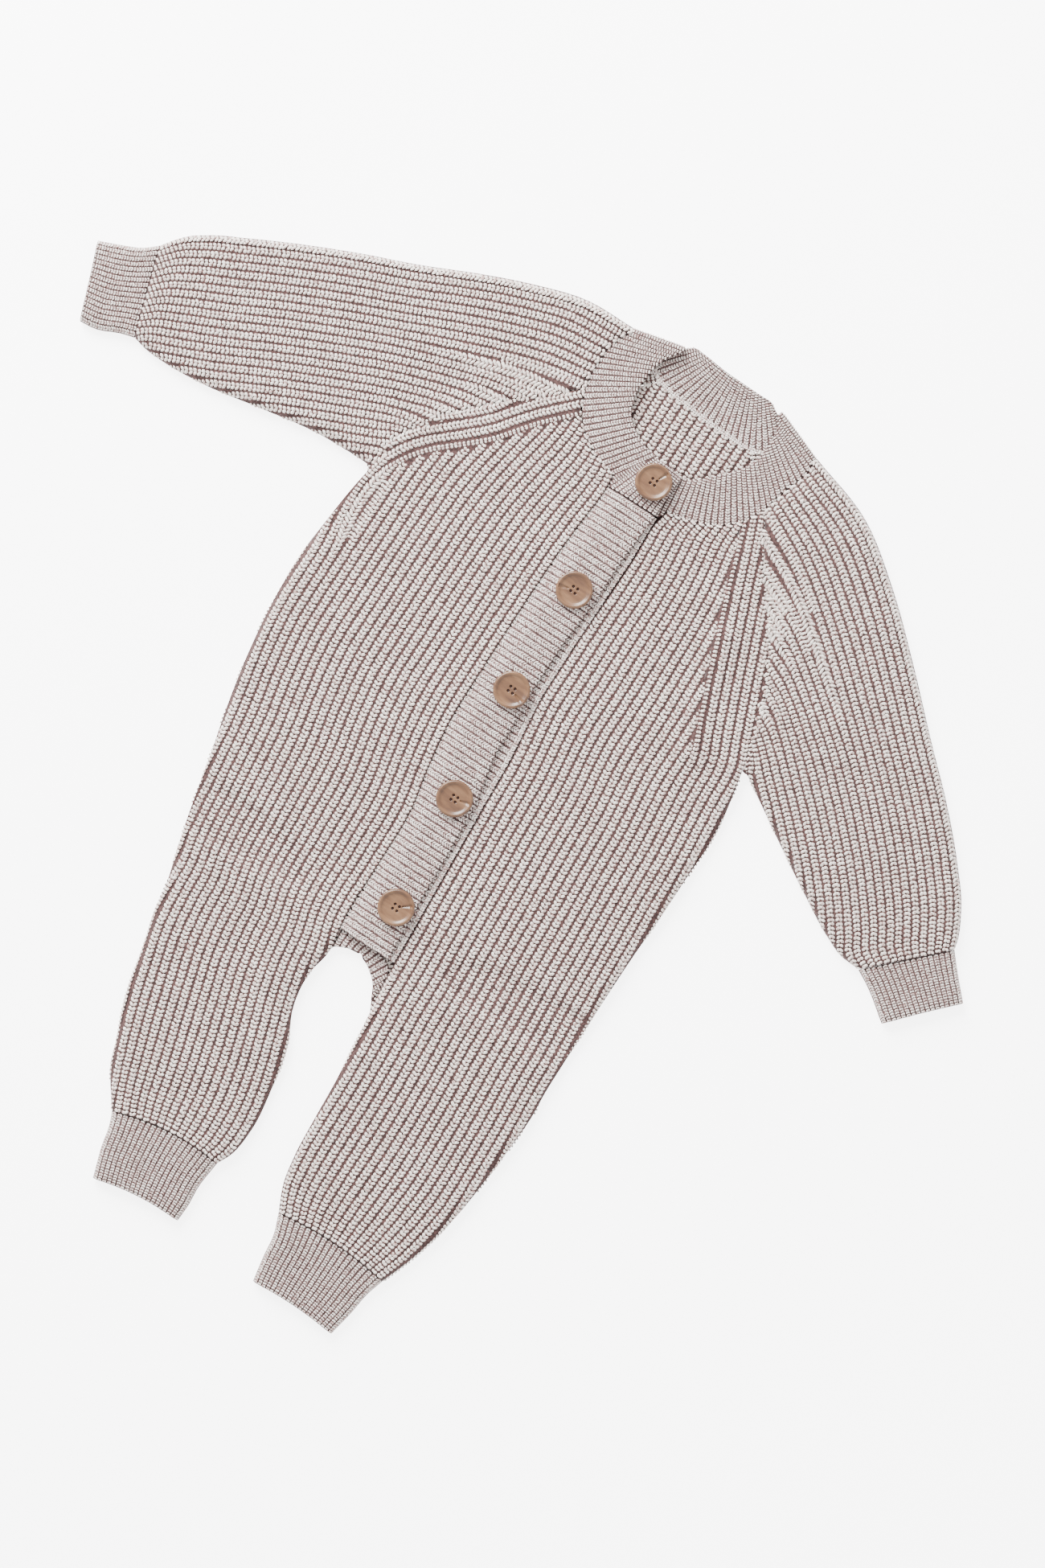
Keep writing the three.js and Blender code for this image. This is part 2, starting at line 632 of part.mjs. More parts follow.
// Armhole row of a sleeve: round the neckband's side, then down the raglan seam
function armholeRow(neckSide, seamLine, seamRibs, backLine) {
  const before = shares(neckSide);
  const stops = neckSide.map((at, i) => ({ at, rib: before[i] * NECK_SIDE_RIBS }));
  seamLine.slice(1).forEach((at, i) => stops.push({ at, rib: seamRibs[i] }));
  const end = stops[stops.length - 1];
  const top = [];
  for (let half = 0; half <= 2 * SLEEVE_RIBS; half++) {
    const held = half / 2 > end.rib - 0.25;
    let i = 1;
    while (i < stops.length - 1 && stops[i].rib < half / 2) i++;
    const [a, b] = [stops[i - 1], stops[i]];
    const at = held ? end.at.clone() : mix(a.at, b.at, (half / 2 - a.rib) / (b.rib - a.rib));
    top.push({ at, crest: held ? 0 : half % 2 });
  }
  return { top, under: backLine };
}

function sleeve(rows, { neckSide, seamLine, backLine }, seamRibs, shoulder) {
  const armhole = armholeRow(neckSide, seamLine, seamRibs, backLine);
  const straight = rows.map((row) => tubeRow(row, SLEEVE_RIBS, row.rib, backLine.length));
  const edge = along([[neckSide[0].x, neckSide[0].y], ...shoulder], SHOULDER_STEPS + 1);
  const inward = straight[0].top[0].at.clone().sub(armhole.top[0].at).normalize();
  armhole.recess = inward.multiplyScalar(5 * SEAM);
  const sections = [armhole];
  for (let i = 1; i <= SHOULDER_STEPS; i++) {
    const t = i / (SHOULDER_STEPS + 1);
    const shift = edge[i].clone().sub(mix(armhole.top[0].at, straight[0].top[0].at, t));
    const last = armhole.top.length - 1;
    const top = armhole.top.map((p, j) => {
      const at = mix(p.at, straight[0].top[j].at, t).addScaledVector(shift, (1 - j / last) ** 2);
      return { at, crest: p.crest && straight[0].top[j].crest };
    });
    const lastUnder = backLine.length - 1;
    const under = straight[0].under.map((p, j) => {
      const at = mix(backLine[j], p, t);
      return at.addScaledVector(shift, (j / lastUnder) ** 2);
    });
    sections.push({ top, under });
  }
  sections.push(...straight);
  const shape = { edge: TUBE_EDGE, top: TUBE_TOP, rib: BODY_RIB, wall: FRONT_WALL, floor: FINE_WALL };
  return tubeRings(sections, shape);
}

function cuff(rows, ribs) {
  const sections = rows.map((row) => {
    const width = Math.hypot(row.underX - row.topX, row.underY - row.topY);
    return tubeRow(row, ribs, width / ribs, CUFF_UNDER_POINTS);
  });
  const shape = { edge: CUFF_EDGE, top: CUFF_TOP, rib: FINE_RIB, wall: CUFF_WALL, floor: CUFF_WALL };
  return tubeRings(sections, shape);
}

// Neckband: one strip that starts under the button, runs round the left side of the neck, folds
// over to the back, folds forward again and ends on top with the button
const BAND_BACK_MID = FINE_WALL / 2;
const BAND_SEAM_MID = 4.7;
const BAND_FREE_MID = 6.2;
const FOLD_STEPS = 3;
const FOLD_REACH = 3.7;

// Axis of a fold: the middle line of its edge, moved in from the outline
function neckFold({ seam, free }) {
  const [a, b] = [point(...seam), point(...free)];
  const run = b.clone().sub(a).normalize();
  const outward = point(-run.y, run.x).multiplyScalar(Math.sign(run.x));
  a.addScaledVector(outward, -FOLD_REACH);
  b.addScaledVector(outward, -FOLD_REACH);
  return { run, outward, seam: a, free: b };
}

const LEFT_FOLD = neckFold(NECK_LEFT_FOLD);
const RIGHT_FOLD = neckFold(NECK_RIGHT_FOLD);
const flatPair = (p) => [p.x, p.y];

// Seam and free edge of each layer of the neckband, each from fold to button or fold to fold
const NECK = {
  left: {
    seam: along([flatPair(LEFT_FOLD.seam), ...NECK_LEFT_SEAM], 2 * NECK_RIBS.front),
    free: along([flatPair(LEFT_FOLD.free), ...NECK_LEFT_FREE], 2 * NECK_RIBS.front),
  },
  back: {
    seam: along([flatPair(LEFT_FOLD.seam), ...NECK_BACK_SEAM, flatPair(RIGHT_FOLD.seam)], 2 * NECK_RIBS.back),
    free: along([flatPair(LEFT_FOLD.free), ...NECK_BACK_FREE, flatPair(RIGHT_FOLD.free)], 2 * NECK_RIBS.back),
  },
  right: {
    seam: along([flatPair(RIGHT_FOLD.seam), ...NECK_RIGHT_SEAM], 2 * NECK_RIBS.front),
    free: along([flatPair(RIGHT_FOLD.free), ...NECK_RIGHT_FREE], 2 * NECK_RIBS.front),
  },
};

function neckLayer({ seam, free }, normalZ, seamZ, freeZ) {
  return seam.map((s, i) => ({
    seam: point(s.x, s.y, seamZ),
    free: point(free[i].x, free[i].y, freeZ),
    normal: point(0, 0, normalZ),
    rib: i % 2,
  }));
}

function foldTurn(fold) {
  const stations = [];
  for (let i = 1; i <= FOLD_STEPS; i++) {
    const angle = Math.PI * i / (FOLD_STEPS + 1);
    const normal = fold.outward.clone().multiplyScalar(Math.sin(angle)).add(point(0, 0, Math.cos(angle)));
    const swing = (p, high) => {
      const radius = (high - BAND_BACK_MID) / 2;
      const at = p.clone().addScaledVector(fold.outward, radius * Math.sin(angle));
      at.z = (high + BAND_BACK_MID) / 2 + radius * Math.cos(angle);
      return at;
    };
    const [seam, free] = [swing(fold.seam, BAND_SEAM_MID), swing(fold.free, BAND_FREE_MID)];
    stations.push({ seam, free, normal, rib: 0 });
  }
  return stations;
}

function neckband() {
  const { seamY, freeY, seamX, freeX } = NECK_END;
  const stations = seamX.map((x, i) => ({
    seam: point(x, seamY, BAND_SEAM_MID),
    free: point(freeX[i], freeY, BAND_SEAM_MID),
    normal: point(0, 0, 1),
    rib: 0,
  }));
  stations.push(...backwards(neckLayer(NECK.left, 1, BAND_SEAM_MID, BAND_FREE_MID)));
  stations.push(...foldTurn(LEFT_FOLD));
  stations.push(...neckLayer(NECK.back, -1, BAND_BACK_MID, BAND_BACK_MID));
  stations.push(...backwards(foldTurn(RIGHT_FOLD)));
  stations.push(...neckLayer(NECK.right, 1, BAND_SEAM_MID, BAND_FREE_MID));
  for (let i = 1; i <= 2 * NECK_RIBS.end; i++) {
    const t = i / (2 * NECK_RIBS.end);
    const rise = BAND_LAP * THREE.MathUtils.smoothstep(t, 0, 0.35);
    const seam = point(THREE.MathUtils.lerp(-26.6, 2.9, t), 133.9, BAND_SEAM_MID + rise);
    const free = point(THREE.MathUtils.lerp(-14.5, 3.4, t), 160.4 - 1.2 * t, BAND_FREE_MID + rise * 0.7);
    stations.push({ seam, free, normal: point(0, 0, 1), rib: i % 2 });
  }
  const half = FINE_WALL / 2;
  const face = (side) => stations.map(({ seam, free, normal, rib }) => {
    const shows = normal.z * side > 0;
    const depth = half + (shows && rib ? FINE_RIB : 0);
    return [seam, free].map((p) => p.clone().addScaledVector(normal, side * depth));
  });
  return openWall(face(1), face(-1));
}

// Bands down the front: ribs run across, so each row is half a rib
function bandRow(y) {
  let i = 1;
  while (i < BAND_ROWS.length - 1 && BAND_ROWS[i].y < y) i++;
  const [a, b] = [BAND_ROWS[i - 1], BAND_ROWS[i]];
  const t = (y - a.y) / (b.y - a.y);
  const value = (name) => THREE.MathUtils.lerp(a[name], b[name], t);
  return { left: value('left'), right: value('right'), under: value('under') };
}

function bandLevels() {
  const [low, high] = [BAND_ROWS[0].y, BAND_ROWS[BAND_ROWS.length - 1].y];
  const count = 2 * BAND_RIBS;
  return Array.from({ length: count + 1 }, (_, i) => THREE.MathUtils.lerp(low, high, i / count));
}

function buttonBand() {
  const base = FRONT_BASE + LAYER_LIFT;
  const over = base + BAND_LAP;
  const outer = [];
  const inner = [];
  bandLevels().forEach((y, i) => {
    const { left, right } = bandRow(y);
    const knee = left + UNDER_BAND_LEFT;
    const rib = i % 2 ? FINE_RIB : 0;
    const top = FINE_WALL + rib;
    outer.push([point(left, y, base + top), point(knee, y, over + top), point(right, y, over + top)]);
    if (i % 4 === 0) inner.push([point(left, y, base), point(knee, y, over), point(right, y, over)]);
  });
  return openWall(outer, inner);
}

function underBand() {
  const base = FRONT_BASE + LAYER_LIFT;
  const outer = [];
  const inner = [];
  bandLevels().forEach((y, i) => {
    const { left, under } = bandRow(y);
    const start = left + UNDER_BAND_LEFT + 1.2;
    const rib = i % 2 ? FINE_RIB : 0;
    outer.push([point(start, y, base + FINE_WALL), point(under, y, base + FINE_WALL + rib)]);
    if (i % 4 === 0) inner.push([point(start, y, base), point(under, y, base)]);
  });
  return openWall(outer, inner);
}

// Narrow band round the crotch, under the foot of the button band
function crotchBand() {
  const steps = 14;
  const [low, high] = [along(CROTCH_ARCH, steps), along(CROTCH_TOP, steps)];
  const outer = low.map((p, i) => [p, high[i]].map((q) => point(q.x, q.y, FRONT_BASE + (i % 2 ? 2 : 1.5))));
  const inner = low.map((p, i) => [p, high[i]].map((q) => point(q.x, q.y, FRONT_BASE)));
  return openWall(outer, inner);
}

function solidOf(geometry) {
  const bare = geometry.index ? geometry.clone() : geometry;
  bare.deleteAttribute('normal');
  bare.deleteAttribute('uv');
  const merged = mergeVertices(bare, 1e-4);
  return new wasm.Manifold(new wasm.Mesh({
    numProp: 3,
    vertProperties: new Float32Array(merged.attributes.position.array),
    triVerts: new Uint32Array(merged.index.array),
  }));
}

function geometryOf(solid) {
  const mesh = solid.getMesh();
  const geometry = new THREE.BufferGeometry();
  geometry.setAttribute('position', new THREE.BufferAttribute(mesh.vertProperties, 3));
  geometry.setIndex(new THREE.BufferAttribute(mesh.triVerts, 1));
  return geometry;
}

// Four-hole button with a raised rim and one tapered groove from the holes to the rim
const BUTTON_SIDES = 18;
const HOLE_RADIUS = 0.9;
const HOLE_SPREAD = 1.9;
const GROOVE = { start: 3.4, end: 8.6, depth: 0.8, wide: 1.9, narrow: 1.1 };

function button(grooveAngle) {
  const r = BUTTON_RADIUS;
  const profile = [
    [0, 0],
    [0.86 * r, 0],
    [r, 1.3],
    [0.97 * r, 2.5],
    [0.88 * r, BUTTON_THICK],
    [0.74 * r, 2.2],
    [0, 1.8],
  ];
  const lathe = new THREE.LatheGeometry(profile.map(([x, y]) => new THREE.Vector2(x, y)), BUTTON_SIDES);
  let solid = solidOf(lathe.rotateX(Math.PI / 2));
  for (let i = 0; i < 4; i++) {
    const angle = Math.PI / 4 + i * Math.PI / 2;
    const hole = new THREE.CylinderGeometry(HOLE_RADIUS, HOLE_RADIUS, 3 * BUTTON_THICK, 6).rotateX(Math.PI / 2);
    hole.translate(HOLE_SPREAD * Math.cos(angle), HOLE_SPREAD * Math.sin(angle), 0);
    solid = solid.subtract(solidOf(hole));
  }
  const { start, end, depth, wide, narrow } = GROOVE;
  const shape = new THREE.Shape([
    new THREE.Vector2(start, -narrow / 2), new THREE.Vector2(end, -wide / 2),
    new THREE.Vector2(end, wide / 2), new THREE.Vector2(start, narrow / 2),
  ]);
  const groove = new THREE.ExtrudeGeometry(shape, { depth: BUTTON_THICK, bevelEnabled: false });
  groove.translate(0, 0, 2 - depth).rotateZ(THREE.MathUtils.degToRad(grooveAngle));
  solid = solid.subtract(solidOf(groove));
  return geometryOf(solid);
}

const romper = new THREE.Group();
romper.position.set(-PLACE.x, -PLACE.y, -PLACE.z);

function add(name, geometry, finish) {
  const mesh = new THREE.Mesh(geometry, new THREE.MeshStandardMaterial(finish));
  mesh.name = name;
  romper.add(mesh);
  return mesh;
}

function addFronts() {
  const ends = (...lines) => lines.map((line) => point(...line[line.length - 1]));
  const [rightFrom, rightTo] = ends(RIGHT_BAND_EDGE, RIGHT_FASHION);
  const [leftFrom, leftTo] = ends(LEFT_BAND_EDGE, LEFT_FASHION);
  const rightNeck = neckEdge(NECK.right.seam, rightFrom, rightTo, -1);
  const leftNeck = neckEdge(NECK.left.seam, leftFrom, leftTo, 1);
  const rightLines = { bandEdge: RIGHT_BAND_EDGE, fashionLine: RIGHT_FASHION, raglan: RIGHT_RAGLAN };
  const leftLines = { bandEdge: LEFT_BAND_EDGE, fashionLine: LEFT_FASHION, raglan: LEFT_RAGLAN };
  add('front_right', frontPanel(RIGHT_ROWS, RIGHT_FRONT, rightLines, rightNeck), KNIT);
  add('front_left', frontPanel(LEFT_ROWS, LEFT_FRONT, leftLines, leftNeck), KNIT);
}

// The back's neck edge from its middle to a raglan seam, one clearance below the neckband
function backNeck(sideX) {
  return BACK_COLUMNS.map((t) => {
    const x = THREE.MathUtils.lerp(BACK_MIDDLE, sideX, t);
    const i = NECK.back.seam.findIndex((p) => p.x <= x);
    const [a, b] = [NECK.back.seam[i - 1], NECK.back.seam[i]];
    const at = mix(a, b, (x - a.x) / (b.x - a.x));
    return at.add(point(0, -1.2 * SEAM));
  });
}

function addBack() {
  const rightArch = [[-16.8, -157], [-16.8, -153], [-10, -149.6], [-2, -148.1]].map(([x, y]) => point(x, y));
  const leftArch = [[16.2, -166], [11.6, -157.6], [5, -152], [-2, -148.1]].map(([x, y]) => point(x, y));
  const right = backHalf(RIGHT_ROWS, rightArch, BACK_RIGHT_RAGLAN, backNeck(BACK_RIGHT_RAGLAN[0][0]));
  const left = backHalf(LEFT_ROWS, leftArch, BACK_LEFT_RAGLAN, backNeck(BACK_LEFT_RAGLAN[0][0]));
  add('back', slab([{ lines: right, flip: false }, { lines: left, flip: true }], 0, BACK_WALL), KNIT);
}

// Lines of an armhole: down the neckband's side and the front raglan seam, and up the back one
const BACK_NECK_STEP = 3;

function armholeLines(fold, layer, backSeam, frontRaglan, backRaglan, side) {
  const corner = fold.seam.clone().addScaledVector(fold.run, -SEAM);
  const tip = corner.clone().addScaledVector(fold.outward, (BAND_SEAM_MID - BAND_BACK_MID) / 2 + FINE_WALL / 2);
  const seamLine = offset(along(frontRaglan, RAGLAN_ROWS).reverse(), side * SEAM);
  const kneeY = seamLine[0].y;
  const beside = offset(layer.seam, side * SEAM).filter((p, i) => i > 0 && p.y > kneeY + 2);
  const neckSide = [tip, corner, ...beside, seamLine[0]];
  const back = offset(along(backRaglan, BACK_RAGLAN_ROWS).reverse(), -side * SEAM);
  const knee = backRaglan[0][0];
  const past = (p) => side * (p.x - knee) > 2;
  const behind = offset(backSeam, -2 * side * SEAM).filter((p, i) => past(p) && i % BACK_NECK_STEP === 0);
  const backLine = [...back, ...behind.slice(0, -1), corner, tip];
  return { neckSide, seamLine, backLine };
}

function addSleeves() {
  const backSeam = NECK.back.seam;
  const right = armholeLines(RIGHT_FOLD, NECK.right, backSeam, RIGHT_RAGLAN, BACK_RIGHT_RAGLAN, -1);
  const left = armholeLines(LEFT_FOLD, NECK.left, backwards(backSeam), LEFT_RAGLAN, BACK_LEFT_RAGLAN, 1);
  add('sleeve_right', sleeve(RIGHT_SLEEVE_ROWS, right, RIGHT_SEAM_RIBS, RIGHT_SHOULDER), KNIT);
  add('sleeve_left', sleeve(LEFT_SLEEVE_ROWS, left, LEFT_SEAM_RIBS, LEFT_SHOULDER), KNIT);
}

function addCuffs() {
  add('cuff_sleeve_right', cuff(RIGHT_CUFF_ROWS, SLEEVE_CUFF_RIBS), FINE_KNIT);
  add('cuff_sleeve_left', cuff(LEFT_CUFF_ROWS, SLEEVE_CUFF_RIBS), FINE_KNIT);
  add('cuff_leg_right', cuff(RIGHT_ANKLE_ROWS, ANKLE_CUFF_RIBS), FINE_KNIT);
  add('cuff_leg_left', cuff(LEFT_ANKLE_ROWS, ANKLE_CUFF_RIBS), FINE_KNIT);
}

function addBands() {
  add('neckband', neckband(), FINE_KNIT);
  add('placket_top', buttonBand(), FINE_KNIT);
  add('placket_under', underBand(), FINE_KNIT);
  add('crotch_band', crotchBand(), FINE_KNIT);
}

function addButtons() {
  const seat = FRONT_BASE + LAYER_LIFT + BAND_LAP + FINE_WALL + FINE_RIB + SEAM;
  BUTTONS.forEach(({ x, y, groove }, i) => {
    const mesh = add(`button_${i + 1}`, button(groove), HORN);
    mesh.position.set(x, y, seat + (i === 0 ? NECK_BUTTON_LIFT : 0));
  });
}

addFronts();
addBack();
addSleeves();
addCuffs();
addBands();
addButtons();

export default romper;
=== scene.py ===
"""Baby romper in thick marled rib knit, laid flat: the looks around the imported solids."""
import math
from functools import partial

import bpy
import numpy as np
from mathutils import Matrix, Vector


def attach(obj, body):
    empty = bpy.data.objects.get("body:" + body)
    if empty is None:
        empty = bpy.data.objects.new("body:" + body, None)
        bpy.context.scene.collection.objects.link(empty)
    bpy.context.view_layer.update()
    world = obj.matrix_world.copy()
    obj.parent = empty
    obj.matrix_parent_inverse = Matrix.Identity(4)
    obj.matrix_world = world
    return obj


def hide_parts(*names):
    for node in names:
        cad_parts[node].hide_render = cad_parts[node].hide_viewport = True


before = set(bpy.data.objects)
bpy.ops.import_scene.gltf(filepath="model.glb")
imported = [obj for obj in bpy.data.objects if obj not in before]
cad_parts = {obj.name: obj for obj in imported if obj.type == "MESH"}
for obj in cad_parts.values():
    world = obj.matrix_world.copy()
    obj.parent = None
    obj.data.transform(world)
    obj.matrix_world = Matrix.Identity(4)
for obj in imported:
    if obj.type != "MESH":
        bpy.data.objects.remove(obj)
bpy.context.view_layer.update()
rng = np.random.default_rng(11)

# Sizes in millimetres, the same as in the solids: the gap between sewn pieces, the walls, how high and how far
# a layer lifts off the one below, how far from an edge a layer rolls, and the hem of a folded tube
SEAM = 0.35
BACK_WALL = 2.2
FRONT_WALL = 2.4
EDGE_WALL = 1.2
FINE_WALL = 2.0
LAYER_LIFT = 0.9
LIFT_REACH = 10
ROLL_REACH = 6
TUBE_INSET = 2.2
FRONT_BASE = BACK_WALL + SEAM
BAND_LAP = 2.9
PLACE = np.array([22.4, 52.737, 0])
MM = 0.001
UP = np.array([0.0, 0.0, 1.0])
FLOOR_GAP = 0.04
INSIDE = -20.0    # distance past an edge, for points well inside it
OUTSIDE = 99

# Knit. A stitch has its pitch along a rib, half the width of a rib, the half length, half width, height and
# lean of its two legs, and the rings and points of a leg's mesh.
STITCH = {
    "pitch": 2.3, "half": 2.6, "long": 1.5, "wide": 0.86, "high": 0.66, "lean": 45, "rings": 2, "sides": 5,
}
BACK_STITCH = STITCH | {"rings": 1, "sides": 3}
FINE_STITCH = {
    "pitch": 1.42, "half": 1.75, "long": 1.06, "wide": 0.58, "high": 0.62, "lean": 42, "rings": 1, "sides": 5,
}
FINE_BACK_STITCH = FINE_STITCH | {"sides": 3}
LEG_WOBBLE = 0.07
LEG_DIP = 0.16
TANGENT_REACH = 0.8
SHELL_RIB = 0.35  # height of the cloth's own rib under the stitches
FINE_RIB = 0.3
BODY_RIB = 5.15
SLEEVE_RIB = 4.6
UNDER_FACE = 0.95
ROW_STEP = 4.0
LAST_RIB = 1.9    # how far past an edge a rib still has stitches
SPREAD = 1.2      # share of its usual width at which a trough gets a rib of its own
WRAP = {"radius": 1.4, "reach": 2.0}
STRIP_FOOT = 40   # from this height up, the front's ribs run on under the fashioned strip
UNDER_STRIP = 2.6
UNDER_SEAM = 4.6
SEAM_CHAIN = 1.2

# Rows from the ankle to the underarm: innerX innerY outerX outerY rib bow skip
RIGHT_ROWS = [
    (-5.3, -284, -68, -291, 3.9, 4, 8.2), (-1.2, -275, -79.5, -275, 4.5, 0, 8.8),
    (0.4, -258, -86.5, -258, 4.95, 0, 9), (-2.4, -236, -95.3, -236, 5.2, 0, 9),
    (-7.6, -212, -101, -212, 5.2, 0, 7.5), (-17, -191, -106.3, -191, 5.1, 0, 10),
    (-19.4, -172, -110, -172, 4.95, 0, 7.5), (-17.2, -156, -114.6, -156, 4.85, 0, 2.5),
    (-18.6, -142, -118.4, -142, 4.8, 0, 0), (-20, -105, -127, -105, 4.95, 0, 0),
    (-21.2, -68, -136, -68, 5.15, 0, 0), (-25.7, -45, -140.4, -45, 5.15, 0, 0),
    (-29.3, -20, -143.7, -20, 5.15, 0, 0), (-30.2, 20, -145.2, 20, 5.15, 0, 0),
]
LEFT_ROWS = [
    (36.5, -288, 103.4, -288.6, 3.85, 3, 3.9), (30.6, -275, 108.6, -275, 4.5, 0, 4.6),
    (27.1, -258, 113.6, -258, 4.95, 0, 5), (25.3, -236, 117.9, -236, 5.2, 0, 5),
    (23.8, -212, 120.3, -212, 5.2, 0, 3.9), (21.6, -191, 121.8, -191, 5.2, 0, 2.6),
    (19.2, -172, 122.5, -172, 5.2, 0, 1.4), (17, -156, 121.4, -156, 5.2, 0, 0.3),
    (16.2, -142, 121.2, -142, 5.2, 0, 0), (14.3, -105, 121, -105, 5.15, 0, 0),
    (12.2, -68, 121.3, -68, 5.15, 0, 0), (10.7, -45, 122, -45, 5.15, 0, 0),
    (9.5, -20, 122.3, -20, 5.15, 0, 0), (5, 20, 121.2, 20, 5.2, 0, 0),
]
RIGHT_FRONT = {
    "side": -1, "inner": 19, "all": 23, "strip": 5.4,
    "band": [[-30.2, 64], [-29.8, 90], [-28.6, 110], [-27.1, 130], [-28, 140]],
    "fashion": [[-130, 68], [-126, 82], [-117, 95], [-104, 107], [-90, 120], [-77, 137], [-59.6, 155.8]],
    "raglan": [[-139.6, 72], [-139.2, 90], [-128, 110], [-108, 133], [-88, 151], [-66.2, 170.2]],
}
LEFT_FRONT = {
    "side": 1, "inner": 16, "all": 23, "strip": 5.2,
    "band": [[4.9, 36], [4.9, 66], [5.6, 90], [5.6, 112], [4.8, 128], [6.6, 138.3]],
    "fashion": [[87, 38], [78, 60], [69, 83], [61, 104], [53, 126], [43.4, 155.4]],
    "raglan": [[115.6, 47], [112, 64], [104, 88], [88, 115], [65, 145], [50.4, 167.4]],
}
RAGLAN_ROWS = 10
NECK_RIB = 4.25
LEG_TOP = -150

# Neckband: folds at the shoulders, seam and free edge of each layer
NECK_RIGHT_FOLD = ([-62, 213.4], [-33, 219.4])
NECK_LEFT_FOLD = ([58.8, 208.2], [29.4, 218.6])
NECK_RIGHT_SEAM = [[-65.6, 202], [-67.7, 188], [-66.4, 174.5], [-61, 160.6], [-51.5, 150], [-39, 143.2],
                   [-27.6, 140.4]]
NECK_RIGHT_FREE = [[-38.8, 206], [-41.7, 193], [-41, 181], [-37.4, 172.3], [-30, 166], [-21, 162],
                   [-14.5, 160.6]]
NECK_LEFT_SEAM = [[58.6, 198], [54, 184], [49.8, 167.2], [43, 156], [33, 147.6], [19, 141.8], [6.1, 138.9]]
NECK_LEFT_FREE = [[32.4, 207], [33, 198], [31, 187], [26, 178], [19, 171], [11.4, 162.6], [4, 159]]
NECK_BACK_SEAM = [[44, 199.4], [27.4, 192.4], [10, 191.8], [-10, 193], [-34, 196.4], [-47, 203]]
NECK_BACK_FREE = [[22, 219.4], [15, 219.6], [6, 219.8], [-8, 220.2], [-22, 221.6], [-29, 221.4]]
NECK_RIBS = {"front": 26, "back": 32, "end": 10}
BAND_BACK_MID = 1.3
NECK_HALF_WALL = 0.6
NECK_HEIGHTS = 9
BAND_SEAM_MID = 4.7
BAND_FREE_MID = 6.2
# Its ends at the top button: the one that lies under and the one that lies over
NECK_UNDER = {"half_ribs": 12, "left": -14.2, "right": 4.4, "seam_y": 134.2, "free_y": 159, "narrows": 3.4}
NECK_OVER = {"corner": (-26.6, 133.9), "seam_x": 2.9, "free": (-14.5, 160.4), "free_x": 3.4, "drop": 1.2}
FOLD_REACH = 3.7
BACK_ROLL = {"height": 2.5, "half": 1.6}

BACK_RIGHT_RAGLAN = [[-34.2, 196], [-62, 170], [-92, 141], [-116, 116], [-132, 94], [-139.6, 72]]
BACK_LEFT_RAGLAN = [[27.2, 191.6], [50, 164], [76, 131], [96, 101], [109, 72], [115.6, 47]]
BACK_MIDDLE = -2
BACK_RIBS = 29
BACK_LEVELS = (-142, -105, -68, -45, -20, 20)
BACK_RAGLAN_ROWS = 6
UNDERARM = 32
NECK_VIEW = 148   # the inside of the back shows above this height
NECK_CORNER_CHAINS = (0.2, 3.4, 6.6, 9.8)

# Sleeve rows from the underarm to the cuff: topX topY underX underY rib
RIGHT_SLEEVE_ROWS = [
    (-172, 180.5, -142.5, 73.8, 4.6), (-205, 167, -173, 73, 4.6), (-237, 152.6, -206, 67.6, 4.6),
    (-262, 140, -237, 61.9, 4.6), (-280, 130.2, -262, 60, 4.5), (-291, 121.6, -276, 60.8, 4.25),
    (-298.4, 112, -283, 62.6, 3.9),
]
LEFT_SLEEVE_ROWS = [
    (190.5, 115.6, 121, 44, 4.6), (216, 91.8, 150, 26, 4.6), (239.4, 67, 180, 8, 4.6),
    (255, 47, 203, -4.6, 4.6), (262, 33.4, 216, -9.4, 4.4), (263.6, 27.2, 226, -9.8, 3.9),
]
RIGHT_SHOULDER = [[-80, 213.4], [-110, 206.2], [-140, 195], [-172, 180.5]]
LEFT_SHOULDER = [[82, 201.4], [110, 187], [150, 154], [190.5, 115.6]]
RIGHT_SEAM_RIBS = [9.5, 10.5, 12, 13, 14.5, 16, 17.5, 20, 22, 24.5]
LEFT_SEAM_RIBS = [9.5, 10, 11, 12, 13, 14.5, 16.5, 18, 20.5, 23.5]
SLEEVE_RIBS = 25
NECK_SIDE_RIBS = 9
SHOULDER_STEPS = 3

# Heights of a tube's folded edge, top, upper wall and hollow's floor
SLEEVE_HEIGHTS = (2.7, 5.8, FRONT_WALL, FINE_WALL)
CUFF_HEIGHTS = (2.4, 5.0, 1.8, 1.8)

# Cuff rows from the seam to the hem: topX topY underX underY bow
CUFFS = {
    "cuff_sleeve_right": (17, [(-298.7, 111.6, -283.3, 62.5, 0), (-305, 106, -291, 60.3, 0),
                               (-314, 101.4, -302, 55.4, 0), (-328, 95.6, -312.6, 54, 0.8)]),
    "cuff_sleeve_left": (17, [(263.8, 26.8, 226.3, -10.2, 0), (270, 19.6, 235, -15, 0),
                              (283.2, 5.4, 252.4, -27.6, 0.6)]),
    "cuff_leg_right": (20, [(-68, -291.35, -5.3, -284.35, 4), (-64.6, -300, -6.8, -300, 1),
                            (-62.2, -311, -6, -311, 0), (-57, -327, -6.4, -321.4, 2.4)]),
    "cuff_leg_left": (20, [(36.5, -288.35, 103.4, -288.95, 3), (40.8, -300, 100.2, -300, 1),
                           (42.4, -312, 98.6, -312, 0), (45, -326.6, 95.6, -327.4, 1.6)]),
}

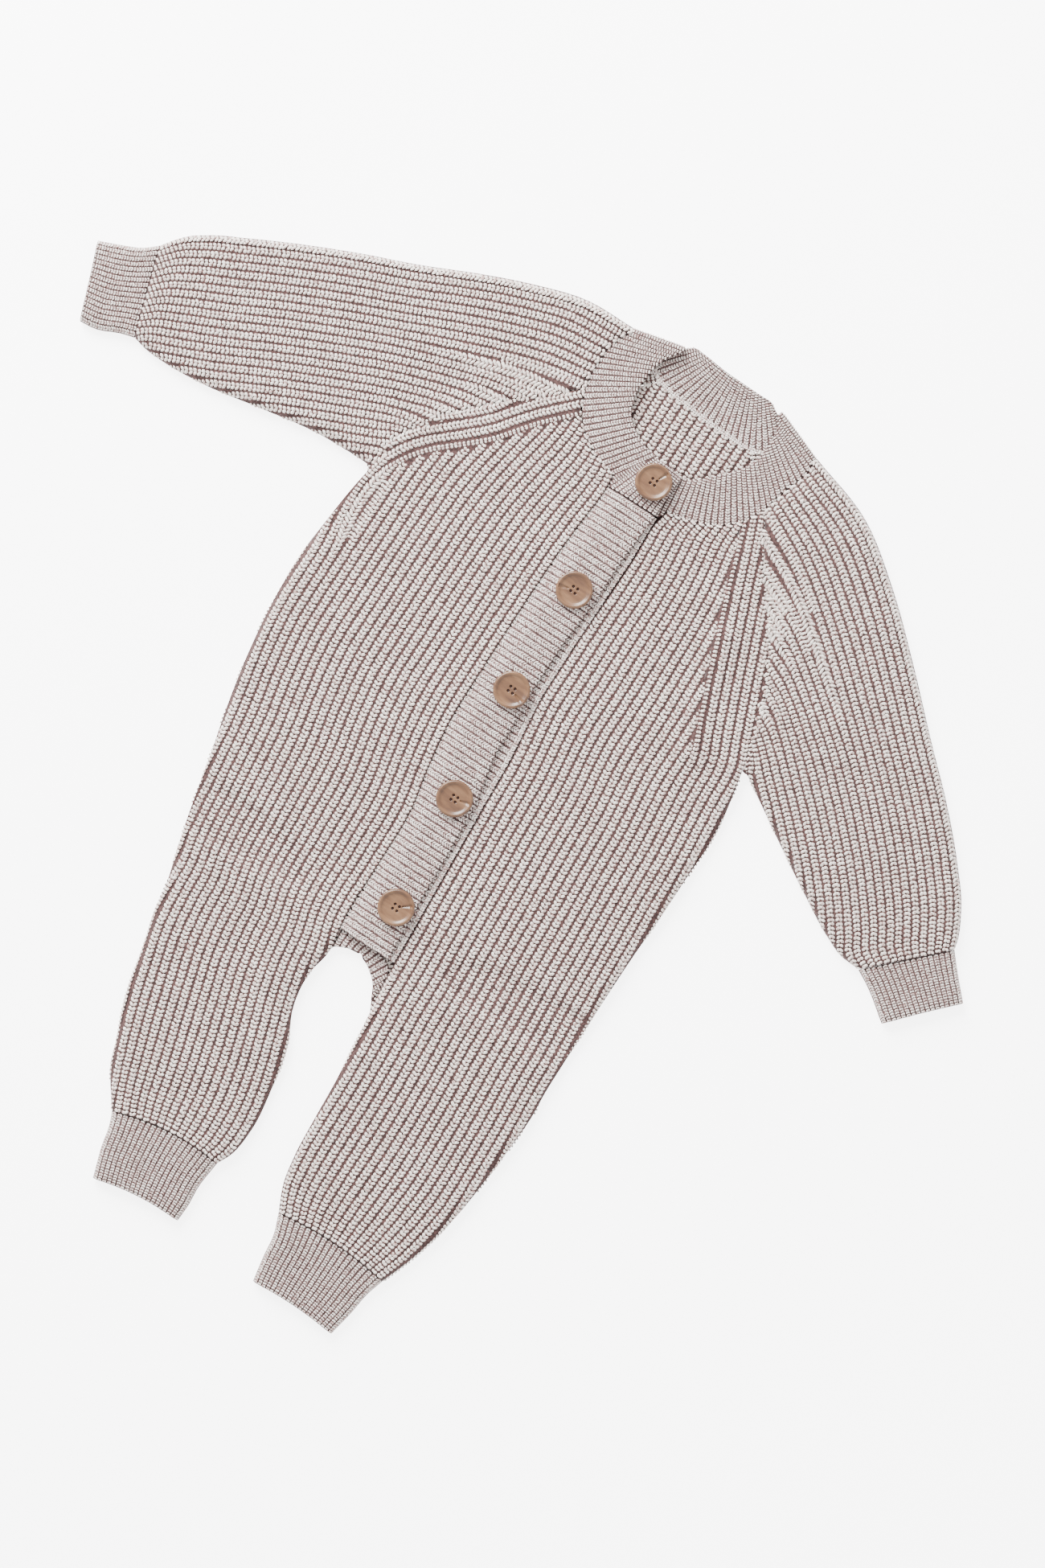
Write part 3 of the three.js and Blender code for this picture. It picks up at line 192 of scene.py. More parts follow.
# Button band: y left right under
BAND_ROWS = np.array([
    (-142.5, -18.3, 11.8, 15.9), (-105, -19.6, 9.2, 13.9), (-68, -20.8, 7.6, 11.8), (-45, -25.3, 5.4, 10.3),
    (-20, -28.9, 0.2, 9.1), (0, -29.3, -0.3, 6.9), (20, -29.8, -1.6, 4.6), (50, -29.8, -1.4, 4.5),
    (80, -29.5, 0.6, 4.8), (105, -28.5, 0.6, 5.2), (128, -26.8, 2.4, 4.3), (133.4, -26.9, 2.8, 4.3),
])
BAND_LEVELS = np.linspace(BAND_ROWS[0, 0], BAND_ROWS[-1, 0], 2 * 70 + 1)
CROTCH_RIBS = 12
CROTCH_HIDDEN = 2.2
CROTCH_CHAINS = (-1.5, 1.3, 4.1)
CROTCH_CORNERS = ([[-19.2, -141], [-18.1, -147], [-17.5, -155]], [[16.4, -146], [17.4, -158], [19, -170]])
UNDER_CHAIN_HEIGHT = FRONT_BASE + LAYER_LIFT + FINE_WALL + 0.3
STEP_REACH = 9.5
UNDER_BAND_LEFT = STEP_REACH + 1.2
UNDER_EDGE = 1.5
CROTCH_ARCH = [[-16.8, -153], [-10, -149.6], [-2, -148.1], [5, -152], [11.6, -157.6], [16.2, -166]]
CROTCH_TOP = [[-17.6, -145], [-10, -144.2], [-2, -143.2], [7, -145], [15.2, -149], [17, -162]]

# Middles of the buttons and the way that each groove points
BUTTONS = [(-7.8, 148.2, 62), (-12, 77, 195), (-11, 14.2, -20), (-5, -51, 12), (0.5, -116.6, 38)]
NECK_BUTTON_LIFT = 0.65
BUTTON_SEAT = FRONT_BASE + LAYER_LIFT + BAND_LAP + FINE_WALL + 0.6 + SEAM
BUTTON_SIDES = 72
BUTTON_FACE = np.array([(0, 1.75), (6.4, 1.95), (7.3, 2.1), (8.2, 2.75), (8.9, 3.0), (9.45, 2.85), (9.85, 2.3),
                        (10, 1.7)])
BUTTON_EDGE = ((1.0, 1.25), (0.985, 0.8), (0.93, 0.3), (0.86, 0.0), (0.4, 0.0))
HOLE_SPREAD = 1.9
HOLE_TURNS = [math.pi / 4 + k * math.pi / 2 for k in range(4)]
HOLE = {"radius": 0.8, "edge": 0.2, "depth": 1.45}
GROOVE = {"start": 3.0, "end": 8.9, "half": (0.45, 1.05), "wide_at": 8.8, "edge": 0.3, "depth": 0.75}
THREAD_RINGS = ((0.04, 1.35), (0.62, 1.25), (0.62, 0.7), (0.04, 0.7))

# Soft folds: x1 y1 x2 y2 reach height
FOLDS = [
    (56, 142, 70, 98, 9, 1.5), (70, 98, 87, 40, 8, 2), (96, 102, 114, 58, 6, -0.8),
    (-122, 118, -146, 84, 9, 0.9), (-40, -188, -22, -216, 8, 1.4), (-136, 30, -138, -60, 8, 0.6),
    (-206, 84, -176, 80, 6, 0.8), (124, 96, 150, 78, 9, 0.8),
]


# Lines and grids

def lerp(a, b, t):
    return a + (b - a) * t


def flat(v):
    """Length of the x and y of each vector."""
    return np.hypot(v[..., 0], v[..., 1])


def lengths(line):
    """Distance along a line at each of its points."""
    return np.concatenate([[0], np.cumsum(np.linalg.norm(np.diff(line, axis=0), axis=1))])


def at_run(line, run, want):
    """Points of a line at the wanted places, where run has the place of each of its points."""
    return np.stack([np.interp(want, run, line[:, k]) for k in range(line.shape[1])], 1)


def respace(line, steps):
    """The line again with evenly spaced points."""
    line = np.asarray(line, float)
    run = lengths(line)
    return at_run(line, run, np.linspace(0, run[-1], steps + 1))


def unit(vectors):
    return vectors / np.maximum(np.linalg.norm(vectors, axis=1), 1e-6)[:, None]


def square_to(vectors, way):
    """Vectors without their share along a direction."""
    return vectors - way * np.einsum("ij,ij->i", way, vectors)[:, None]


def eased(t):
    """Smooth step from 0 to 1."""
    return t * t * (3 - 2 * t)


def every_other(shape):
    """1 on every second column, where a rib has its crest, and 0 between."""
    return np.tile(np.arange(shape[1]) % 2, (shape[0], 1))


def along(points, steps):
    """Evenly spaced points on a smooth curve through a few."""
    p = np.array(points, float)
    q = np.vstack([2 * p[0] - p[1], p, 2 * p[-1] - p[-2]])
    fine = []
    for a, b, c, d in zip(q, q[1:], q[2:], q[3:]):
        t0, t1, t2 = (max(np.linalg.norm(v - u) ** 0.5, 1e-4) for u, v in ((a, b), (b, c), (c, d)))
        m1 = ((b - a) / t0 - (c - a) / (t0 + t1) + (c - b) / t1) * t1
        m2 = ((c - b) / t1 - (d - b) / (t1 + t2) + (d - c) / t2) * t1
        s = np.linspace(0, 1, 25)[:-1, None]
        fine.append(b + m1 * s + (3 * (c - b) - 2 * m1 - m2) * s**2 + (2 * (b - c) + m1 + m2) * s**3)
    return respace(np.vstack([*fine, p[-1:]]), steps)


def offset(line, distance):
    """A line moved to its left."""
    ahead = np.vstack([line[1:], line[-1:]])
    behind = np.vstack([line[:1], line[:-1]])
    run = ahead - behind
    run /= flat(run)[:, None]
    return line + np.stack([-run[:, 1], run[:, 0]], 1) * distance


def smooth_rows(grid, step):
    """More rows between those of a grid, on smooth curves that run across them."""
    gaps = np.array([flat(b[:, :2] - a[:, :2]).mean() for a, b in zip(grid, grid[1:])])
    u = np.concatenate([[0], np.cumsum(np.maximum(gaps, 1e-3))])
    slopes = np.gradient(grid, u, axis=0)
    count = max(int(round(u[-1] / step)), len(grid))
    want = np.linspace(0, u[-1], count + 1)
    i = np.clip(np.searchsorted(u, want, side="right") - 1, 0, len(u) - 2)
    h = (u[i + 1] - u[i])
    t = ((want - u[i]) / h)[:, None, None]
    h = h[:, None, None]
    a, b = grid[i], grid[i + 1]
    return ((1 + 2 * t) * (1 - t)**2 * a + t * (1 - t)**2 * h * slopes[i]
            + t**2 * (3 - 2 * t) * b - t**2 * (1 - t) * h * slopes[i + 1])


def roll(distance):
    """Share of the full height at a distance from a rolled edge."""
    rest = 1 - np.clip(distance / ROLL_REACH, 0, 1)
    return np.sqrt(1 - rest * rest)


def wrapped(grid, past, way):
    """A grid whose points past an edge go round it."""
    turn = np.clip(past, 0, WRAP["reach"]) / WRAP["radius"]
    moved = grid.copy()
    moved[..., :2] -= way * (WRAP["radius"] * (1 - np.cos(turn)))[..., None]
    moved[..., 2] -= WRAP["radius"] * np.sin(turn)
    return moved


def led_on(grid, run, drop, last=False):
    """A grid with one more row before its first, or past its last, that runs on and dips."""
    end, near = (grid[-1], grid[-2]) if last else (grid[0], grid[1])
    way = end[:, :2] - near[:, :2]
    way = way / np.maximum(flat(way), 1e-3)[:, None]
    extra = np.column_stack([end[:, :2] + way * np.reshape(run, (-1, 1)), end[:, 2] - drop])
    return np.concatenate([grid, extra[None]] if last else [extra[None], grid])


def edge_twice(values, last=False):
    """Values with those of their first or last row given once more."""
    return np.concatenate([values, values[-1:]] if last else [values[:1], values])


def fold_height(p):
    """How much the soft folds raise the cloth at each point."""
    height = np.zeros(p.shape[:-1])
    for x1, y1, x2, y2, reach, rise in FOLDS:
        d = np.array([x2 - x1, y2 - y1])
        rel = p[..., :2] - [x1, y1]
        t = np.clip(rel @ d / (d @ d), 0, 1)
        height += rise * np.exp(-(flat(rel - t[..., None] * d) / reach)**2)
    return height


# Meshes

class Faces:
    """Vertices and triangles of one piece, gathered in millimetres."""

    def __init__(self):
        self.points = []
        self.tris = []
        self.count = 0

    def add(self, points):
        start = self.count
        self.points.append(np.asarray(points, float).reshape(-1, 3))
        self.count += len(self.points[-1])
        return start

    def grid(self, grid, closed=False, flip=False):
        rows, cols = grid.shape[:2]
        index = self.add(grid) + np.arange(rows * cols).reshape(rows, cols)
        wide = np.hstack([index, index[:, :1]]) if closed else index
        a, b, c, d = wide[:-1, :-1], wide[1:, :-1], wide[1:, 1:], wide[:-1, 1:]
        for corners in ((a, c, b), (a, d, c)) if flip else ((a, b, c), (a, c, d)):
            self.tris.append(np.stack([x.ravel() for x in corners], 1))
        return index

    def strip(self, line_a, line_b):
        """Joins two lines of vertices that run the same way."""
        points = np.vstack(self.points)
        share_a, share_b = (lengths(points[line][:, :2]) for line in (line_a, line_b))
        share_a, share_b = share_a / max(share_a[-1], 1e-9), share_b / max(share_b[-1], 1e-9)
        tris, i, j = [], 0, 0
        while i + 1 < len(line_a) or j + 1 < len(line_b):
            if j + 1 >= len(line_b) or (i + 1 < len(line_a) and share_a[i + 1] <= share_b[j + 1]):
                tris.append((line_a[i], line_a[i + 1], line_b[j]))
                i += 1
            else:
                tris.append((line_b[j + 1], line_b[j], line_a[i]))
                j += 1
        self.tris.append(np.array(tris))


def volume(points, tris):
    """Six times the volume that the triangles close, below zero where they face inwards."""
    a, b, c = (points[tris[:, k]] for k in range(3))
    return np.einsum("ij,ij->i", a, np.cross(b, c)).sum()


def make(name, points, tris, material, outward=True):
    """A mesh object from points in millimetres in the garment's own place."""
    points = np.column_stack([points[:, :2], np.maximum(points[:, 2], FLOOR_GAP)])
    if outward and volume(points, tris) < 0:
        tris = tris[:, ::-1]
    mesh = bpy.data.meshes.new(name)
    mesh.vertices.add(len(points))
    mesh.vertices.foreach_set("co", ((points + PLACE) * MM).astype(np.float32).ravel())
    mesh.loops.add(3 * len(tris))
    mesh.loops.foreach_set("vertex_index", tris.astype(np.int32).ravel())
    mesh.polygons.add(len(tris))
    mesh.polygons.foreach_set("loop_start", np.arange(0, 3 * len(tris), 3, dtype=np.int32))
    mesh.polygons.foreach_set("use_smooth", np.full(len(tris), True))
    mesh.update(calc_edges=True)
    mesh.materials.append(material)
    piece = bpy.data.objects.new(name, mesh)
    bpy.context.scene.collection.objects.link(piece)
    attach(piece, "root")
    return piece


def shell(name, outer, inner, material, closed=False):
    """A wall between two grids: open, or a tube where the rows close on themselves."""
    faces = Faces()
    o = faces.grid(outer, closed)
    i = faces.grid(inner, closed, flip=True)
    if closed:
        rings_o, rings_i = (np.hstack([index, index[:, :1]]) for index in (o, i))
        faces.strip(rings_o[0], rings_i[0])
        faces.strip(rings_o[-1][::-1], rings_i[-1][::-1])
    else:
        faces.strip(o[0], i[0])
        faces.strip(o[-1][::-1], i[-1][::-1])
        faces.strip(o[:, 0][::-1], i[:, 0][::-1])
        faces.strip(o[:, -1], i[:, -1])
    return make(name, np.vstack(faces.points), np.vstack(faces.tris), material)


# Knit stitches: two fat legs for each V, on the crest of each rib

def leg_shape(size):
    """A leg as a low mound: shares of its length, width and height at each point, and its triangles."""
    angles = np.linspace(0, math.pi, size["sides"])
    places = [(-1, 0, -0.1)]
    rings = {1: [(0, 1)], 2: [(-0.45, 0.93), (0.45, 0.93)]}[size["rings"]]
    for along_leg, full in rings:
        places += [(along_leg, full * math.cos(a), full * math.sin(a)) for a in angles]
    places.append((1, 0, -0.1))
    tris, n = [], size["sides"]
    for k in range(n - 1):
        tris.append((0, 1 + k + 1, 1 + k))
        last = 1 + (len(rings) - 1) * n
        tris.append((last + n, last + k, last + k + 1))
        if len(rings) == 2:
            tris += [(1 + k, 2 + k, 2 + n + k), (1 + k, 2 + n + k, 1 + n + k)]
    return np.array(places), np.array(tris)


def facing(grid, towards):
    """1 or -1, for the way round that a grid's rows and columns face."""
    normal = np.cross(grid[1:, :-1] - grid[:-1, :-1], grid[:-1, 1:] - grid[:-1, :-1])
    there = np.broadcast_to(towards, grid.shape)[:-1, :-1]
    return 1 if (normal * there).sum() > 0 else -1


class Stitches:
    def __init__(self):
        self.parts = []

    def rib(self, crest, left, right, valid, size, out):
        """Stitches along one rib: lines of its crest and of the troughs on both sides."""
        edges = np.flatnonzero(np.diff(np.concatenate([[0], valid.astype(int), [0]])))
        for start, end in zip(edges[::2], edges[1::2]):
            if end - start < 2:
                continue
            line = crest[start:end]
            run = lengths(line)
            count = int(run[-1] / size["pitch"])
            if count < 2:
                continue
            at = (np.arange(count) + 0.5) * run[-1] / count
            centre, to_left, to_right = (at_run(x, run, at) for x in (line, left[start:end], right[start:end]))
            ahead = at_run(line, run, at + TANGENT_REACH) - at_run(line, run, at - TANGENT_REACH)
            tangent = unit(ahead)
            across = square_to((to_right - to_left) / 2, tangent)
            normal = np.cross(tangent, across) * out
            keep = (np.linalg.norm(normal, axis=1) > 0.35) & (np.linalg.norm(ahead, axis=1) > 0.1)
            self.parts.append([x[keep] for x in (centre, tangent, across, unit(normal))]
                              + [np.full(keep.sum(), run[-1] / count), size])

    def field(self, grid, past, size, face=1):
        """Stitches on every second column of a grid, as far as each rib goes past its edge."""
        out = facing(grid, np.array([0, 0, face]))
        for j in range(1, grid.shape[1] - 1, 2):
            self.rib(grid[:, j], grid[:, j - 1], grid[:, j + 1], past[:, j] < LAST_RIB, size, out)
        for j in range(2, grid.shape[1] - 2, 2):
            between = (past[:, j - 1] < 0) & (past[:, j + 1] < 0)
            self.increase(grid[:, j - 1], grid[:, j], grid[:, j + 1], between, size, out)

    def increase(self, before, trough, after, valid, size, out):
        """A rib that begins in a trough where the ribs beside it have spread apart."""
        apart = np.linalg.norm(square_to(after - before, unit(np.gradient(trough, axis=0))), axis=1)
        there = valid & (apart > SPREAD * 2 * size["half"])
        self.rib(trough, (before + trough) / 2, (after + trough) / 2, there, size, out)

    def chain(self, line, height, half, size):
        """A row of small stitches along a seam, seen from above."""
        middle, left, right = (np.column_stack([offset(line, way * half), np.full(len(line), height)])
                               for way in (0, 1, -1))
        self.rib(middle, left, right, np.full(len(line), True), size, -1)

    def ribs(self, grid, crest, size, towards):
        """Stitches on the columns of a grid that are marked as crests."""
        out = facing(grid, towards)
        for j in range(1, grid.shape[1] - 1):
            if crest[:, j].any():
                self.rib(grid[:, j], grid[:, j - 1], grid[:, j + 1], crest[:, j] > 0.5, size, out)

    def piece(self, name, material, slot):
        """One object of all the stitches, each leg a little off in lean, place, width and length."""
        points, faces, count = [], [], 0
        for centre, tangent, across, normal, pitch, size in self.parts:
            n = len(centre)
            if n == 0:
                continue
            shape, tris = leg_shape(size)
            half = np.linalg.norm(across, axis=1)[:, None]
            side = across / half
            share = half / size["half"]
            fit = np.clip(share, 0.45, 1.3) * np.clip(share, 1, 1.22)
            wobbles = rng.normal(0, LEG_WOBBLE, (n, 8))
            pitch = pitch[:, None]
            for way, wobble in ((-1, wobbles[:, :4]), (1, wobbles[:, 4:])):
                off_lean, off_place, off_width, off_length = (wobble[:, k:k + 1] for k in range(4))
                lean = np.radians(size["lean"]) + off_lean
                axis = unit(side * way * np.sin(lean) + tangent * np.cos(lean) - normal * LEG_DIP)
                middle = (centre + side * way * (size["long"] * fit * np.sin(lean) * 0.93)
                          + tangent * pitch * off_place * 0.6 - normal * (0.1 + 0.6 * off_width))
                long = axis * (size["long"] * fit * (1 + off_length))
                wide = unit(np.cross(normal, axis)) * (size["wide"] * np.clip(pitch / size["pitch"], 0.5, 1.2)
                                                       * (1 + off_width))
                high = normal * size["high"]
                points.append((middle[:, None] + long[:, None] * shape[None, :, :1]
                               + wide[:, None] * shape[None, :, 1:2] + high[:, None] * shape[None, :, 2:]))
                faces.append(tris[None] + len(shape) * np.arange(n)[:, None, None] + count)
                count += n * len(shape)
        verts = np.concatenate([p.reshape(-1, 3) for p in points])
        tris = np.concatenate([f.reshape(-1, 3) for f in faces])
        return make(name, verts, tris, material, outward=False)


# Materials

def node(tree, kind, **inputs):
    made = tree.nodes.new(kind)
    for name, value in inputs.items():
        made.inputs[name].default_value = value
    return made


def ramp(tree, factor, stops):
    made = tree.nodes.new("ShaderNodeValToRGB")
    elements = made.color_ramp.elements
    while len(elements) < len(stops):
        elements.new(0.5)
    for element, (place, colour) in zip(elements, stops):
        element.position = place
        element.color = (*colour, 1)
    tree.links.new(factor, made.inputs["Fac"])
    return made.outputs["Color"]


def surface(name, roughness, **constants):
    material = bpy.data.materials.new(name)
    material.use_nodes = True
    tree = material.node_tree
    bsdf = tree.nodes["Principled BSDF"]
    bsdf.inputs["Roughness"].default_value = roughness
    for key, value in constants.items():
        bsdf.inputs[key.replace("_", " ")].default_value = value
    where = tree.nodes.new("ShaderNodeTexCoord").outputs["Object"]
    return material, tree, bsdf, where


def noise(tree, where, scale, detail=2.0, roughness=0.5):
    made = node(tree, "ShaderNodeTexNoise", Scale=scale, Detail=detail, Roughness=roughness)
    tree.links.new(where, made.inputs["Vector"])
    return made.outputs["Fac"]


def blend_colours(tree, factor, a, b, mode="MIX"):
    made = tree.nodes.new("ShaderNodeMix")
    made.data_type = "RGBA"
    made.blend_type = mode
    for value, socket in ((factor, made.inputs[0]), (a, made.inputs[6]), (b, made.inputs[7])):
        if isinstance(value, bpy.types.NodeSocket):
            tree.links.new(value, socket)
        else:
            socket.default_value = value
    return made.outputs[2]


def bump(tree, bsdf, height, strength, distance):
    made = node(tree, "ShaderNodeBump", Strength=strength, Distance=distance)
    tree.links.new(height, made.inputs["Height"])
    tree.links.new(made.outputs["Normal"], bsdf.inputs["Normal"])


def yarn(name, light, pale, pink):
    """Marled yarn: a cream strand with a pink one twisted in."""
    material, tree, bsdf, where = surface(name, 0.92, Sheen_Weight=0.25, Sheen_Roughness=0.6)
    speckle = noise(tree, where, 760.0, 3.0, 0.6)
    marl = ramp(tree, speckle, [(0.36, pink), (0.5, pale), (0.58, light)])
    patch = ramp(tree, noise(tree, where, 45.0, 2.0), [(0.35, (0.93, 0.925, 0.92)), (0.65, (1, 1, 1))])
    tree.links.new(blend_colours(tree, 1.0, marl, patch, "MULTIPLY"), bsdf.inputs["Base Color"])
    bump(tree, bsdf, noise(tree, where, 2400.0, 2.0), 0.35, 0.0003)
    return material


def shaded_ground(name, dark, mid):
    """The cloth between the stitches: pink-brown yarn darkened almost to black as painted shade, where the
    yarn lies in shade between the ribs.
    """
    material, tree, bsdf, where = surface(name, 0.97, Sheen_Weight=0.1)
    tree.links.new(ramp(tree, noise(tree, where, 900.0, 3.0), [(0.4, dark), (0.62, mid)]),
                   bsdf.inputs["Base Color"])
    bump(tree, bsdf, noise(tree, where, 1500.0, 2.0), 0.5, 0.0004)
    return material


YARN = yarn("yarn", (0.76, 0.715, 0.655), (0.62, 0.55, 0.505), (0.30, 0.165, 0.145))
FINE_YARN = yarn("fine_yarn", (0.73, 0.68, 0.63), (0.59, 0.515, 0.48), (0.32, 0.18, 0.16))
# Painted shade: the cloth between the stitches is coloured near-black, standing in for the shade deep in the
# troughs
SHADED_GROUND = shaded_ground("shaded_ground", (0.022, 0.008, 0.007), (0.075, 0.033, 0.03))
SHADED_FINE_GROUND = shaded_ground("shaded_fine_ground", (0.034, 0.015, 0.014), (0.085, 0.043, 0.04))


def cloth_piece(name):
    """Hides the imported solid of a knitted piece."""
    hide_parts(name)


def ribbed(grid, crest, normal_sign):
    """A grid of half ribs with their crests raised, and one with two columns for each half rib."""
    up = np.zeros(grid.shape)
    up[..., 2] = normal_sign
    raised = grid + up * (crest * SHELL_RIB)[..., None]
    mids = (raised[:, :-1] + raised[:, 1:]) / 2
    either = np.maximum(crest[:, :-1], crest[:, 1:])
    mids = mids + up[:, :-1] * (either * SHELL_RIB * 0.25)[..., None]
    fine = np.empty((grid.shape[0], 2 * grid.shape[1] - 1, 3))
    fine[:, ::2] = raised
    fine[:, 1::2] = mids
    return raised, fine


# The neckband's lines

def neck_fold(seam, free):
    """Where the neckband folds at a shoulder: the way up it, the way out and its edges' middles."""
    a, b = np.array(seam, float), np.array(free, float)
    run = (b - a) / np.linalg.norm(b - a)
    outward = np.array([-run[1], run[0]]) * np.sign(run[0])
    return {"run": run, "outward": outward, "seam": a - outward * FOLD_REACH,
            "free": b - outward * FOLD_REACH}


LEFT_FOLD = neck_fold(*NECK_LEFT_FOLD)
RIGHT_FOLD = neck_fold(*NECK_RIGHT_FOLD)


def neck_line(edge, points, ribs, start, end=None):
    ends = [] if end is None else [end[edge]]
    return along([start[edge], *points, *ends], 2 * NECK_RIBS[ribs])


NECK = {
    ("left", "seam"): neck_line("seam", NECK_LEFT_SEAM, "front", LEFT_FOLD),
    ("left", "free"): neck_line("free", NECK_LEFT_FREE, "front", LEFT_FOLD),
    ("back", "seam"): neck_line("seam", NECK_BACK_SEAM, "back", LEFT_FOLD, RIGHT_FOLD),
    ("back", "free"): neck_line("free", NECK_BACK_FREE, "back", LEFT_FOLD, RIGHT_FOLD),
    ("right", "seam"): neck_line("seam", NECK_RIGHT_SEAM, "front", RIGHT_FOLD),
    ("right", "free"): neck_line("free", NECK_RIGHT_FREE, "front", RIGHT_FOLD),
}


# Front panels

def lower_row(row, front):
    """Half ribs of a row: x, y, distance past the outer edge, the way to it, distances for the roll
    and distance past the inner edge."""
    ix, iy, ox, oy, rib, bow, skip = row
    width = math.hypot(ox - ix, oy - iy)
    reach = np.arange(2 * front["all"] + 1) / 2 * rib - skip
    t = reach / width
    rise = bow * 4 * np.clip(t, 0, 1) * (1 - np.clip(t, 0, 1))
    inner = reach if iy < LEG_TOP else np.full(len(reach), float(ROLL_REACH))
    way = np.tile([(ox - ix) / width, (oy - iy) / width], (len(reach), 1))
    return np.column_stack([lerp(ix, ox, t), lerp(iy, oy, t) + rise, reach - width, way, width - reach, inner,
                            -reach])


def upper_row(band, fashion, seam, front, pitch, line):
    """The same for a row beside the raglan seam: from the band to the fashion line, then over the strip."""
    span = abs(fashion[0] - band[0])
    reach = np.arange(2 * front["inner"] + 1) / 2 * pitch
    way = (fashion - band) / span
    first = np.array([line(min(t, 1)) for t in reach / span]) + way * np.maximum(reach - span, 0)[:, None]
    strip = np.linalg.norm(seam - fashion)
    out = np.arange(1, 2 * (front["all"] - front["inner"]) + 1) / 2 * front["strip"]
    out[-1] = max(out[-1], strip)
    away = (seam - fashion) / strip
    second = fashion + away * out[:, None]
    past = np.concatenate([reach - span, out - strip])
    ways = np.vstack([np.tile(way, (len(reach), 1)), np.tile(away, (len(out), 1))])
    full = np.full((len(past), 2), float(ROLL_REACH))
    before = np.full(len(past), INSIDE)
    before[:len(reach)] = -reach
    return np.column_stack([np.vstack([first, second]), past, ways, full, before])


def neck_edge(seam_line, start, end, side):
    """The top edge of a front under the neckband's seam, as a function of the share along it."""
    keep = (side * (seam_line[:, 0] - start[0]) > 0.5) & (side * (end[0] - seam_line[:, 0]) > 0.5)
    between = seam_line[keep & (seam_line[:, 1] < end[1])] - [0, 1.3 * SEAM]
    path = np.vstack([start, between[np.argsort(side * between[:, 0])], end])

    def edge(t):
        x = lerp(start[0], end[0], t)
        return np.array([x, np.interp(side * x, side * path[:, 0], path[:, 1])])

    return edge


def front_panel(name, rows, front, neck_seam):
    band, fashion, raglan = (along(front[k], RAGLAN_ROWS) for k in ("band", "fashion", "raglan"))
    planned = [lower_row(row, front) for row in rows]
    edge = neck_edge(neck_seam, band[-1], fashion[-1], front["side"])
    for i in range(RAGLAN_ROWS + 1):
        pitch = lerp(rows[-1][4], NECK_RIB, (i / RAGLAN_ROWS) ** 2)
        line = edge if i == RAGLAN_ROWS else partial(lerp, band[i], fashion[i])
        planned.append(upper_row(band[i], fashion[i], raglan[i], front, pitch, line))
    fine = smooth_rows(np.array(planned), ROW_STEP)
    early = (fine[..., 7] > fine[..., 2])[..., None]
    past, way = np.maximum(fine[..., 2], fine[..., 7]), np.where(early, -1, 1) * fine[..., 3:5]
    xy = fine[..., :2] - way * np.maximum(past, 0)[..., None]
    outer, inner = np.maximum(fine[..., 5], 0), np.maximum(fine[..., 6], 0)
    lift = LAYER_LIFT * (1 - np.exp(-np.minimum(outer, inner) / LIFT_REACH * 3))
    under = FRONT_BASE + np.maximum(0, lift + fold_height(xy) * roll(outer))
    share = np.minimum(roll(outer), roll(inner))
    base = np.dstack([xy, under + EDGE_WALL + (FRONT_WALL - EDGE_WALL) * share])
    raised, wide = ribbed(base, every_other(past.shape) * (past < 0) * share, 1)
    below = np.dstack([xy, under])[:, ::4]
    cloth = shell("cloth_" + name, wide, below, SHADED_GROUND)
    under_strip = (np.arange(xy.shape[1]) <= 2 * front["inner"]) & (fine[..., 1] > STRIP_FOOT) & (past > 0)
    on = np.clip(past, 0, UNDER_STRIP) * under_strip
    placed = wrapped(raised, np.where(under_strip, 0, past), way)
    placed[..., :2] += way * on[..., None]
    placed[..., 2] -= on * 0.16
    past = np.where(under_strip, past + LAST_RIB - UNDER_STRIP, past)
    placed = led_on(placed, 0.8, 1.0, last=True)
    stitches = Stitches()
    stitches.field(placed, edge_twice(past, last=True), STITCH)
    stitches.chain(along(front["raglan"], 4 * RAGLAN_ROWS), 4.9, SEAM_CHAIN, STITCH)
    if front["side"] < 0:
        beside_band = np.vstack([xy[::2, 0], band[-1:]])
        stitches.chain(beside_band[beside_band[:, 1] > -140], 4.7, SEAM_CHAIN, STITCH)
    done = stitches.piece("stitches_" + name, YARN, "knit")
    cloth_piece(name)


# Sleeves and cuffs

